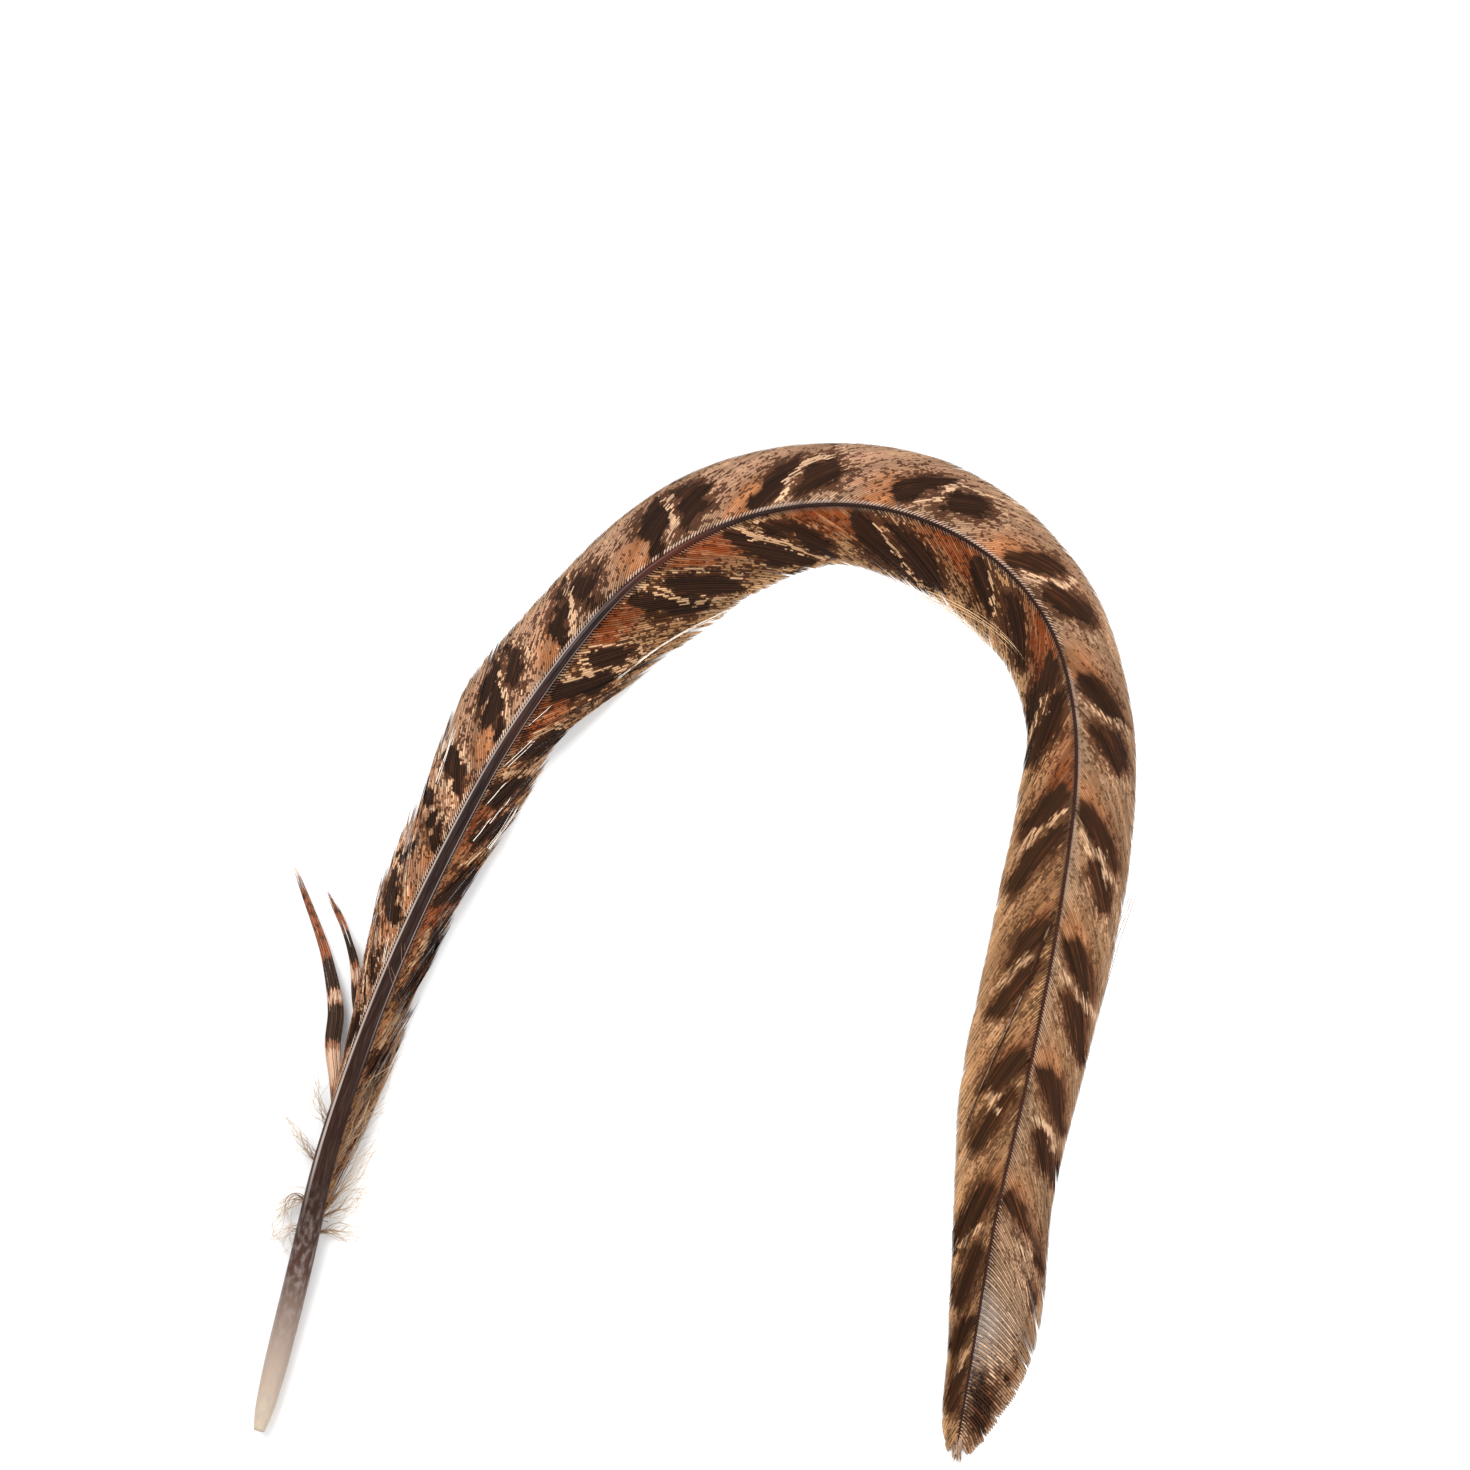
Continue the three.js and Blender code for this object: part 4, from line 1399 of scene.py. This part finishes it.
        # ticks only on the barb's ridge, where the painted highlight falls
        tick = sheet.times(tick, sheet.step(*self.TICK_TONE, self.barb[2]))
        tick = sheet.times(tick, sheet.scaled(self.golden, -0.65, 1.0))
        return sheet.mix(tick, colour, self.given["Root"])


def barb_group() -> bpy.types.NodeTree:
    """The barbs' node group, built when it is first asked for."""
    return bpy.data.node_groups.get(BarbPigment.NAME) or BarbPigment().build()


def fresh_sheet(material: bpy.types.Material) -> NodeSheet:
    """An empty node sheet for a material.

    Args:
        material: The material.

    Returns:
        The sheet.
    """
    material.use_nodes = True
    material.node_tree.nodes.clear()
    return NodeSheet(material.node_tree)


@dataclass(frozen=True)
class BarbFinish:
    """Barbs dyed in dark brown, tan, chestnut and buff."""

    name: str
    dark: str = "25150c"
    umber: str = "301c10"
    fringe: str = "5f3620"
    tan: str = "8f6c55"
    chestnut: str = "94603d"
    buff: str = "b39274"
    rim: str = "95785f"
    gold: str = "735439"
    # pale barb roots: their own pale horn, with a painted highlight where they catch the light
    root: str = "c8ab98"
    ragged: float = 2.6
    flecks: float = 0.15
    stipple: float = 0.14
    dashes: float = 0.35
    streaks: float = 0.1
    contrast: float = 0.8
    ticks: float = 0.85
    specular: float = 0.08
    relief: float = 0.5
    relief_depth: float = 0.06 * MM

    def material(self) -> bpy.types.Material:
        """Makes the material.

        Returns:
            The material.
        """
        material = bpy.data.materials.new(self.name)
        sheet = fresh_sheet(material)
        pigment = sheet.add("Group", node_tree=barb_group())
        for label in BarbPigment.FIELDS:
            field_of = sheet.add("Attribute", attribute_name=label.lower()).outputs["Vector"]
            sheet.tree.links.new(field_of, pigment.inputs[label])
        for label in BarbPigment.COLOURS:
            pigment.inputs[label].default_value = linear(getattr(self, label.lower()))
        for label in BarbPigment.AMOUNTS:
            pigment.inputs[label].default_value = getattr(self, label.lower())
        colour, gloss, height = pigment.outputs
        relief = {"Height": height, "Strength": self.relief, "Distance": self.relief_depth}
        sheet.surface(
            Base_Color=colour, Roughness=gloss, Normal=sheet.add("Bump", relief).outputs[0],
            Specular_IOR_Level=self.specular,
        )
        return material


@dataclass(frozen=True)
class DownFinish:
    """Fine pale down, browner towards its roots."""

    name: str = "down"
    root: str = "6a4a34"
    tip: str = "c9ab88"
    roughness: float = 0.5
    specular: float = 0.3

    def material(self) -> bpy.types.Material:
        """Makes the material.

        Returns:
            The material.
        """
        material = bpy.data.materials.new(self.name)
        sheet = fresh_sheet(material)
        field_of = sheet.add("Attribute", attribute_name="barb").outputs["Vector"]
        parts = sheet.add("SeparateXYZ", {0: field_of}).outputs
        patch = sheet.noise(field_of, (1.7, 2.2, 0.0), 1.0)
        blend = sheet.scaled(parts[1], 0.9, sheet.less(patch, 0.4))
        colour = sheet.mix(sheet.step(0.0, 0.8, blend), linear(self.root), linear(self.tip))
        sheet.surface(Base_Color=colour, Roughness=self.roughness, Specular_IOR_Level=self.specular)
        return material


@dataclass(frozen=True)
class Stripe:
    """A paler stripe along the shaft, where its horn catches the light.

    Its middle and half its width are shares of a turn around the shaft.
    """

    turn: float
    half: float
    strength: float
    rise: tuple[float, float]
    fall: tuple[float, float]
    colour: str


@dataclass(frozen=True)
class KeratinFinish:
    """The shaft's polished horn, from the pale quill to the dark rachis."""

    name: str = "shaft_keratin"
    stops: tuple[tuple[float, str], ...] = (
        (0.0, "bfae98"), (10.0, "a08d80"), (22.0, "4a342b"), (31.0, "2c1b15"), (50.0, "281610"),
        # the lighter stop at 101 mm is a painted orange reflection on the rachis
        (92.0, "190e0d"), (101.0, "2f1811"), (110.0, "1d110f"), (120.0, "1a100e"),
        (132.0, "4a1e0f"), (141.0, "1a0f0d"), (165.0, "1c0d09"), (200.0, "28120b"),
        (250.0, "351508"), (300.0, "2a1208"),
    )
    stripes: tuple[Stripe, ...] = (
        Stripe(0.145, 0.036, 1.0, (27.0, 40.0), (100.0, 88.0), "b3a299"),
        Stripe(0.135, 0.04, 1.0, (88.0, 100.0), (126.0, 112.0), "ada09c"),
        Stripe(0.21, 0.03, 0.5, (106.0, 116.0), (142.0, 128.0), "685c5c"),
        Stripe(0.37, 0.02, 1.0, (44.0, 66.0), (134.0, 118.0), "9a8c86"),
        Stripe(0.095, 0.04, 0.9, (134.0, 146.0), (228.0, 206.0), "8f7266"),
    )
    length: float = 300.0
    streak: str = "55423a"
    streak_span: tuple[float, float] = (0.42, 0.68)
    streak_rise: tuple[float, float] = (26.0, 38.0)
    streak_share: float = 0.3
    bloom: str = "9a8d8a"
    bloom_span: tuple[float, float] = (0.42, 0.72)
    bloom_fall: tuple[float, float] = (38.0, 24.0)
    bloom_share: float = 0.45
    specular: float = 0.07
    relief: float = 0.35
    relief_depth: float = 0.08 * MM

    def material(self) -> bpy.types.Material:
        """Makes the material.

        Returns:
            The material.
        """
        material = bpy.data.materials.new(self.name)
        sheet = fresh_sheet(material)
        place = sheet.add("Attribute", attribute_name="shaft_place").outputs["Vector"]
        along, turn = sheet.add("SeparateXYZ", {0: place}).outputs[0:2]
        ramp = sheet.add("ValToRGB", {0: sheet.math("DIVIDE", along, self.length)})
        elements = ramp.color_ramp.elements
        for at, _ in self.stops[1:-1]:
            elements.new(at / self.length)
        for element, (at, code) in zip(elements, self.stops):
            element.position = at / self.length
            element.color = linear(code)
        streak = sheet.noise(place, (0.25, 40.0, 0.0), 3.0)
        mottle = sheet.noise(place, (0.7, 16.0, 0.0), 3.0)
        mask = sheet.step(*self.streak_rise, along)
        mask = sheet.times(mask, sheet.step(*self.streak_span, streak))
        colour = sheet.mix(sheet.times(mask, self.streak_share), ramp.outputs[0], linear(self.streak))
        strength = sheet.scaled(streak, 0.6, 0.5)
        for stripe in self.stripes:
            span = sheet.times(sheet.step(*stripe.rise, along), sheet.step(*stripe.fall, along))
            share = sheet.times(span, sheet.times(strength, stripe.strength))
            away = sheet.math("ABSOLUTE", sheet.less(turn, stripe.turn))
            mask = sheet.step(stripe.half, stripe.half * 0.25, away)
            colour = sheet.mix(sheet.times(mask, share), colour, linear(stripe.colour))
        mask = sheet.step(*self.bloom_fall, along)
        mask = sheet.times(mask, sheet.step(*self.bloom_span, mottle))
        colour = sheet.mix(sheet.times(mask, self.bloom_share), colour, linear(self.bloom))
        relief = {"Height": streak, "Strength": self.relief, "Distance": self.relief_depth}
        sheet.surface(
            Base_Color=colour, Roughness=sheet.scaled(streak, 0.25, 0.28),
            Normal=sheet.add("Bump", relief).outputs[0], Specular_IOR_Level=self.specular,
        )
        return material


# ---------------------------------------------------------------- the studio


@dataclass(frozen=True)
class Lamp:
    """A soft square light that faces the feather; its place and side are in metres."""

    name: str
    place: tuple[float, float, float]
    side: float
    watts: float

    def build(self) -> None:
        """Adds the light."""
        data = bpy.data.lights.new(self.name, "AREA")
        data.size = self.side
        data.energy = self.watts
        light = bpy.data.objects.new(self.name, data)
        light.location = self.place
        light.rotation_euler = (-Vector(self.place)).to_track_quat("-Z", "Y").to_euler()
        bpy.context.scene.collection.objects.link(light)


@dataclass(frozen=True)
class Studio:
    """A pale floor, soft lights and the camera that looks straight down on the feather."""

    frame_width: float = 196.0
    frame_centre: tuple[float, float] = (5.67, 28.8)
    focus_height: float = 3.0
    lens: float = 135.0
    sensor: float = 36.0
    far_clip: float = 20.0
    floor_half: float = 3.0
    paper: tuple[float, float, float, float] = (0.9, 0.9, 0.9, 1.0)
    paper_roughness: float = 0.8
    sky: tuple[float, float, float, float] = (1.0, 1.0, 1.0, 1.0)
    sky_strength: float = 0.62
    lamps: tuple[Lamp, ...] = (
        Lamp("key", (-0.26, 0.34, 0.6), 0.4, 5.2),
        Lamp("fill", (0.4, -0.2, 0.6), 0.6, 3.0),
    )

    def build(self) -> None:
        """Adds the floor, the camera, the lights and the world."""
        self.floor()
        self.camera()
        for lamp in self.lamps:
            lamp.build()
        world = bpy.data.worlds.new("studio")
        world.use_nodes = True
        sky = world.node_tree.nodes["Background"].inputs
        sky["Color"].default_value = self.sky
        sky["Strength"].default_value = self.sky_strength
        bpy.context.scene.world = world
        bpy.context.scene.view_settings.view_transform = "Standard"

    def floor(self) -> None:
        """Adds the floor, a wide plain sheet."""
        mesh = bpy.data.meshes.new("floor")
        signs = ((-1, -1), (1, -1), (1, 1), (-1, 1))
        corners = [(x * self.floor_half, y * self.floor_half, 0) for x, y in signs]
        mesh.from_pydata(corners, [], [(0, 1, 2, 3)])
        floor = bpy.data.objects.new("floor", mesh)
        bpy.context.scene.collection.objects.link(floor)
        material = bpy.data.materials.new("floor_paper")
        material.use_nodes = True
        shader = material.node_tree.nodes["Principled BSDF"]
        shader.inputs["Base Color"].default_value = self.paper
        shader.inputs["Roughness"].default_value = self.paper_roughness
        mesh.materials.append(material)

    def camera(self) -> None:
        """Adds the camera, straight above the middle of its frame."""
        data = bpy.data.cameras.new("camera")
        data.lens = self.lens
        data.sensor_width = self.sensor
        data.clip_end = self.far_clip
        camera = bpy.data.objects.new("camera", data)
        distance = self.frame_width * self.lens / self.sensor
        x, y = self.frame_centre
        camera.location = (x * MM, y * MM, (distance + self.focus_height) * MM)
        bpy.context.scene.collection.objects.link(camera)
        bpy.context.scene.camera = camera


# ---------------------------------------------------------------- assembly


def outer_vane() -> Vane:
    """The vane on the outside of the arch.

    Returns:
        The vane.
    """
    return Vane(
        name="outer_vane",
        side=Side.OUTER,
        start=44.0,
        width=Profile((
            (50, 1.9), (61, 2.2), (70, 4.9), (76, 6.5), (88, 6.9), (100, 9.0), (109, 8.6),
            (119, 7.7), (135, 8.3), (174, 8.5), (188, 7.8), (208, 8.3), (230, 8.4), (249, 7.5),
            (266, 7.3), (278, 8.3), (285, 8.5), (293, 6.6), (299, 3.6), (303.5, 0.5),
        )),
        markings=Markings(
            OUTER_BARS,
            warm_run=(6.5, 1.5),
            warm_fade=(6.5, 3.0),
            warm_gold=0.75,
            strip=0.6,
            seed=71,
            swell=-0.1,
            bleach=Profile((
                (0, 0), (258, 0), (266, 0.1), (276, 0.55), (280, 0.95), (287, 1), (293, 0), (300, 0),
            )),
            gold=Profile(((0, 0), (145, 0), (200, 0.6), (235, 1), (264, 1), (276, 0.7))),
            blush=Profile(((0, 0.3), (50, 0.6), (86, 0.75), (98, 0.3), (108, 0), (300, 0))),
            halo=Profile((
                (0, 0.6), (70, 1.0), (98, 1.0), (118, 0.7), (130, 0.45), (150, 0), (300, 0),
            )),
        ),
        splits=(
            Split(54, 0.3, 1.1, 0.9), Split(58, 0.02, 0.4, 0.6), Split(66, 0.5, 1.1, 0.5),
            Split(81, 0.6, 1.1, 0.8), Split(83.5, 0.5, 0.82, 0.7), Split(246, 0.8, 1.1, 0.25),
            Split(268, 0.5, 1.1, 0.4),
        ),
        looseness=Profile(((42, 2.4), (70, 1.7), (88, 0.6), (104, 0.25), (262, 0.3), (290, 0.5))),
        fullness=Profile((
            (42, 0.9), (90, 1.0), (268, 1.0), (275, 0.85), (283, 0.62), (288, 0.78), (293, 1.0),
        )),
        seat=Profile(((44, 0.85), (98, 0.82), (300, 0.75))),
        flare=Profile((
            (44, 1), (264, 1), (270, 0.89), (276, 0.66), (282, 0.54), (288, 0.5), (294, 0.62),
            (300, 1),
        )),
        seed=11,
    )


def inner_vane() -> Vane:
    """The vane on the inside of the arch.

    Returns:
        The vane.
    """
    return Vane(
        name="inner_vane",
        side=Side.INNER,
        start=30.0,
        width=Profile((
            (40, 2.9), (51, 4.8), (66, 4.6), (80, 4.8), (90, 5.9), (106, 6.0), (116, 9.1),
            (129, 10.8), (142, 9.7), (156, 7.8), (168, 8.8), (184, 8.2), (203, 6.4), (218, 7.8),
            (244, 8.7), (257, 8.0), (272, 5.3), (288, 3.3), (298, 2.5), (303.5, 0.5),
        )),
        markings=Markings(
            INNER_BARS,
            warm_run=(13.0, 4.0),
            warm_fade=(6.0, 2.6),
            warm_gold=1.0,
            strip=0.25,
            seed=83,
            fleck_floor=0.62,
            calm=0.2,
            tears=0.45,
            halo=Profile((
                (0, 0.5), (70, 0.6), (90, 0.65), (104, 1.0), (140, 0.9), (160, 0.5), (176, 0),
                (300, 0),
            )),
            blush=Profile(((0, 0.1), (40, 0.2), (64, 0.5), (98, 0.5), (112, 0), (300, 0))),
            flood=Profile((
                (26, 0.9), (60, 0.9), (75, 0.7), (104, 0.8), (118, 0), (168, 0), (177, 0.55),
                (189, 0.5), (196, 0), (300, 0),
            )),
        ),
        splits=(
            Split(36, 0.5, 1.1, 0.8), Split(42, 0.4, 0.85, 0.8), Split(62, 0.5, 1.1, 0.8),
            Split(70, 0.65, 1.1, 0.9), Split(76, 0.4, 0.9, 0.7), Split(88, 0.2, 0.5, 0.12),
            Split(95.3, 0.08, 0.5, 0.12), Split(101.6, 0.03, 0.3, 0.1), Split(112, 0.8, 1.1, 0.5),
            Split(192, 0.6, 1.1, 0.4),
        ),
        looseness=Profile((
            (26, 3.0), (60, 2.5), (88, 1.4), (106, 0.8), (130, 0.6), (180, 0.7), (205, 0.35),
            (300, 0.5),
        )),
        fullness=Profile(((26, 0.6), (50, 0.85), (70, 1.1), (100, 1.08), (115, 1.0), (300, 1.0))),
        seat=Profile(((26, 0.9), (120, 0.88), (300, 0.85))),
        flare=Profile(((26, 1), (300, 1))),
        seed=23,
    )


def loose_locks() -> tuple[LooseLock, ...]:
    """The two banded locks that have come away beside the outer vane, and a few barbs by them.

    Returns:
        The locks.
    """
    return (
        LooseLock(
            name="loose_lock_long",
            guide=(
                (-47.6, -22.0, 3.0), (-47.6, -17.5, 3.0), (-48.0, -12.5, 2.7), (-47.6, -7.9, 2.2),
                (-48.9, -0.8, 1.3), (-51.4, 6.1, 0.8), (-53.9, 13.2, 0.6),
            ),
            width=Profile(((0, 0.8), (5, 1.5), (12, 1.9), (19, 1.5), (25, 1.0), (36, 0.25))),
            strands=15,
            dark=Profile((
                (0, -1), (9.6, -0.8), (10.4, 0.5), (14.6, 0.6), (15.4, -0.6), (16.8, -0.6),
                (17.4, 0.5), (20.9, 0.5), (21.6, -0.5), (23.4, -0.4), (24.0, 0.25), (24.7, -0.4),
                (25.3, -0.35), (25.8, 0.2), (26.4, -0.4), (27.3, 0.15), (28.0, -0.4), (28.7, 0.15),
                (29.4, -0.4), (30.2, 0.15), (31.0, -0.4), (32.0, 0.15), (32.8, -0.4), (33.7, 0.1),
                (34.4, -0.5), (36, -0.7),
            )),
            buff=Profile((
                (0, -1), (3.6, -0.4), (5, 0.3), (8.6, 0.3), (9.6, -0.5), (15, -0.4), (15.7, 0.2),
                (16.8, 0.1), (17.4, -0.6), (31, -0.5), (34, 0.25), (36, 0.3),
            )),
            warm=Profile(((0, 1), (6, 0.4), (16, 0.5), (22, 1.0), (30, 0.8), (36, 0))),
            seed=31,
        ),
        LooseLock(
            name="loose_lock_short",
            guide=(
                (-43.7, -12.5, 4.0), (-44.6, -7.0, 3.4), (-45.2, -1.5, 2.4), (-46.6, 3.0, 1.4),
                (-49.2, 8.8, 0.6),
            ),
            width=Profile(((0, 0.7), (5, 1.25), (12, 1.05), (18, 0.7), (23, 0.3))),
            strands=13,
            dark=Profile((
                (0, 0.3), (7.6, 0.4), (8.4, -0.6), (10.8, -0.5), (11.6, 0.4), (15, 0.4),
                (15.8, -0.4), (18, -0.3), (18.6, 0.1), (19.2, -0.4), (23, -0.6),
            )),
            buff=Profile(((0, -1), (8, -0.3), (8.9, 0.3), (10, 0.2), (11, -0.5), (23, -1))),
            warm=Profile(((0, 0.2), (8, 0.8), (16, 0.9), (23, 0.5))),
            seed=32,
            frizz=0.2,
        ),
        LooseLock(
            name="loose_lock_stray",
            guide=((-43.2, -10.5, 4.2), (-43.4, -6.5, 4.0), (-43.3, -3.0, 3.4), (-43.6, 0.6, 2.8)),
            width=Profile(((0, 0.4), (5, 0.5), (11, 0.2))),
            strands=3,
            dark=Profile(((0, 0.3), (8, 0.3), (9, -0.5), (11, -0.5))),
            buff=Profile(((0, -1), (11, -1))),
            warm=Profile(((0, 0.5), (11, 0.9))),
            seed=33,
            frizz=0.3,
        ),
    )


class Tone(Enum):
    """How light a stray barb is: the palest are painted near-white as glints, the dark ones are a
    painted shadow in a parting, and gold and plain ones keep the barbs' own colours.
    """

    PAINTED_GLINT = "pale"
    GOLD = "gold"
    PLAIN = "plain"
    PAINTED_SHADOW = "dark"


@dataclass(frozen=True)
class Stray:
    """A few barbs that have slipped out of a vane and lie across it, along a guide."""

    name: str
    guide: Points
    strands: int
    spread: float
    half: float
    tone: Tone

    def lock(self, seed: int) -> LooseLock:
        """The barbs as a thin loose lock.

        Args:
            seed: The lock's seed.

        Returns:
            The lock.
        """
        off = Profile(((0, -1), (40, -1)))
        full = Profile(((0, 0.3), (40, 0.3)))
        return LooseLock(
            name="stray_" + self.name,
            guide=self.guide,
            width=Profile(((0, self.spread), (12, self.spread * 0.6))),
            strands=self.strands,
            # dark strays are a painted shadow; buff is a painted glint on the palest strays and the
            # gold strays' own colour
            dark=full if self.tone is Tone.PAINTED_SHADOW else off,
            buff=full if self.tone in (Tone.PAINTED_GLINT, Tone.GOLD) else off,
            warm=off,
            seed=seed,
            rings=40,
            thickness=0.15,
            frizz=0.12,
            barb_half=self.half,
            on_vane=True,
        )


STRAYS = (
    # painted reflection: pale barbs along the inner rim, painted near-white where the rim catches the
    # light
    Stray(
        "inner_rim_glint",
        ((112, -6.7, 3.3), (119, -8.1, 2.9), (127, -9.5, 1.7), (134, -10.3, 0.6), (141, -9.9, 0.5)),
        3, 0.25, 0.065, Tone.PAINTED_GLINT,
    ),
    Stray(
        "inner_crossing",
        ((172, -8.5, 0.6), (178, -7.7, 1.3), (185, -6.4, 2.25), (193, -4.9, 2.8)),
        4, 1.3, 0.04, Tone.GOLD,
    ),
    Stray(
        "inner_crossing_low",
        ((170, -9.3, 0.4), (177, -8.9, 0.5), (184, -8.1, 0.65), (191, -7.0, 0.9)),
        4, 1.1, 0.04, Tone.GOLD,
    ),
    Stray(
        "inner_upper", ((176, -8.7, 0.55), (184, -8.4, 0.6), (190, -8.1, 0.6)),
        2, 0.6, 0.045, Tone.GOLD,
    ),
    # painted shadow: dark barbs laid along the parting, where the slipped barbs leave a shaded gap
    Stray(
        "inner_parting_shadow",
        (
            (228, -0.7, 4.0), (236, -2.2, 3.7), (246, -4.3, 3.2), (251, -5.3, 2.6),
            (256, -6.1, 1.65), (264, -6.9, 0.5),
        ),
        4, 0.4, 0.08, Tone.PAINTED_SHADOW,
    ),
    Stray(
        "parting_glint",
        ((240, -3.1, 3.8), (250, -5.3, 2.95), (258, -6.7, 1.4), (263, -7.0, 0.7)),
        1, 0.2, 0.06, Tone.PLAIN,
    ),
    Stray(
        "outer_glint", ((89, 5.4, 4.7), (93, 6.2, 4.15), (97, 7.2, 3.05)),
        2, 0.25, 0.07, Tone.PAINTED_GLINT,
    ),
    Stray(
        "outer_stray", ((238, 7.2, 0.95), (230, 8.4, 0.6), (222, 9.9, 0.4)),
        3, 1.2, 0.05, Tone.PLAIN,
    ),
    Stray(
        "inner_glint_a", ((89.5, -1.8, 5.6), (92, -2.4, 5.5), (94.5, -3.0, 5.3)),
        1, 0.1, 0.08, Tone.PAINTED_GLINT,
    ),
    Stray(
        "inner_glint_b", ((95.5, -1.6, 5.6), (99, -2.5, 5.4), (103, -3.4, 5.0)),
        2, 0.35, 0.06, Tone.PAINTED_GLINT,
    ),
    Stray(
        "inner_glint_c", ((101.5, -1.3, 5.7), (104, -1.9, 5.5), (106, -2.5, 5.4)),
        1, 0.2, 0.06, Tone.PAINTED_GLINT,
    ),
    Stray(
        "inner_glint_d", ((84.5, -2.6, 5.4), (87, -3.1, 5.3), (89, -3.5, 5.1)),
        1, 0.2, 0.07, Tone.PAINTED_GLINT,
    ),
    Stray(
        "inner_glint_e", ((87.5, -3.5, 5.0), (90.5, -4.0, 4.5), (93, -4.4, 3.9)),
        1, 0.25, 0.07, Tone.PAINTED_GLINT,
    ),
    Stray(
        "inner_edge_glint", ((84.5, -4.7, 3.95), (88, -5.2, 2.5), (92, -5.4, 2.25)),
        3, 0.45, 0.06, Tone.PAINTED_GLINT,
    ),
    Stray(
        "base_glint", ((64.5, 1.4, 5.6), (67, 1.9, 5.4), (69.6, 2.5, 5.0)),
        2, 0.2, 0.08, Tone.PAINTED_GLINT,
    ),
    Stray(
        "tip_tuft", ((299.4, 0.0, 0.72), (301.3, 0.1, 0.75), (303.2, 0.1, 0.7)),
        7, 1.1, 0.13, Tone.PLAIN,
    ),
    Stray(
        "shaft_crossing", ((60.5, -2.7, 4.6), (63, -1.0, 6.4), (66, 1.3, 6.45)),
        2, 0.5, 0.03, Tone.PLAIN,
    ),
    Stray(
        "shaft_crossing_upper", ((64, -2.5, 4.8), (66.5, -0.8, 6.4), (69, 0.4, 6.5)),
        2, 0.5, 0.03, Tone.PLAIN,
    ),
)


def quill_down() -> Down:
    """The down on both sides of the quill.

    Returns:
        The down.
    """
    return Down(
        name="down",
        wisps=(
            Wisp(((-48.3, -24.5, 3.3), (-49.9, -19.9, 2.4), (-50.7, -16.5, 1.2),
                  (-52.1, -14.8, 0.5)), 9, 0.8),
            Wisp(((-49.3, -29.5, 2.9), (-52.3, -25.2, 2.2), (-54.2, -23.2, 1.1),
                  (-55.7, -22.5, 0.5)), 12, 0.9),
            Wisp(((-50.6, -34.5, 2.6), (-52.6, -33, 2.2), (-55, -35.2, 1.2),
                  (-55.7, -38.5, 0.5)), 18, 1.0),
            Wisp(((-51.2, -37.5, 2.2), (-53.4, -37.6, 1.5), (-54.6, -40.5, 0.5)), 14, 1.0),
            Wisp(((-49.6, -35, 2.5), (-46.3, -31.2, 1.9), (-42.3, -27.2, 1.1),
                  (-39.7, -25.9, 0.5)), 14, 1.2),
            Wisp(((-49.9, -35.8, 2.4), (-46.2, -33.8, 1.5), (-41.8, -31.6, 0.5)), 14, 1.1),
            Wisp(((-48.7, -31, 2.9), (-44.6, -25.8, 1.9), (-42.3, -22.4, 0.5)), 12, 1.0),
            Wisp(((-51, -37.8, 2.2), (-47.6, -37.4, 1.3), (-43.6, -38.6, 0.5)), 14, 1.1),
            Wisp(((-47.4, -27, 3.3), (-43.2, -20.5, 2.2), (-40.2, -16.2, 0.9)), 22, 1.0),
            Wisp(((-46, -21, 3.6), (-42, -15.5, 2.4), (-39.0, -9.8, 1.0)), 16, 0.9),
        ),
        seed=41,
    )


OUTER_FINISH = BarbFinish("outer_barbs")
# umber, fringe, tan and chestnut are darker than the outer vane's: partly the inner vane's own
# colour, partly painted shade for a vane tilting away from the light
INNER_FINISH = BarbFinish(
    "inner_barbs", umber="311d0e", fringe="4c2510", tan="86603f", chestnut="6b3214",
    buff="a58262", rim="a8845f", gold="8a6341", root="7a5f4e", ragged=3.2, stipple=0.2,
    dashes=0.8, streaks=0.3, contrast=0.9, ticks=0.5,
)
LOCK_FINISH = BarbFinish(
    "lock_barbs", dark="38291f", fringe="6a4433", chestnut="955538", buff="b9987f", ragged=0.9,
    stipple=0.1, ticks=0.0,
)
# near-white buff paints the glints on the palest stray barbs, dark paints the shadow in the inner
# parting, tan is the plain strays' own colour
GLINT_FINISH = BarbFinish(
    "glint_barbs", dark="2c1a10", buff="ebe0d4", tan="8c6c52", stipple=0.0, ticks=0.0
)
GOLD_FINISH = BarbFinish("gold_barbs", buff="e0bd92", stipple=0.0, ticks=0.0)


def attach(piece: bpy.types.Object, material: bpy.types.Material) -> None:
    """Dresses a piece and says that it stands for the feather's solid.

    Args:
        piece: The piece.
        material: Its material.
    """
    piece.data.materials.append(material)
    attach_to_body(piece, BODY)
    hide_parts(NODE)
    logging.info("%s: %d faces", piece.name, len(piece.data.polygons))


def main() -> None:
    """Builds the feather piece by piece."""
    logging.basicConfig(level=logging.INFO, format="%(message)s")
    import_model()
    Studio().build()
    plan = FeatherPlan()
    finishes = (OUTER_FINISH, INNER_FINISH, LOCK_FINISH, GLINT_FINISH, GOLD_FINISH, DownFinish())
    outer, inner, locks, glints, golden, down = (finish.material() for finish in finishes)
    attach(Shaft().build(plan), KeratinFinish().material())
    attach(outer_vane().build(plan), outer)
    attach(inner_vane().build(plan), inner)
    for lock in loose_locks():
        attach(lock.build(plan), locks)
    for seed, stray in enumerate(STRAYS, start=50):
        attach(stray.lock(seed).build(plan), golden if stray.tone is Tone.GOLD else glints)
    for piece in quill_down().build():
        attach(piece, down)


if __name__ == "__main__":
    main()
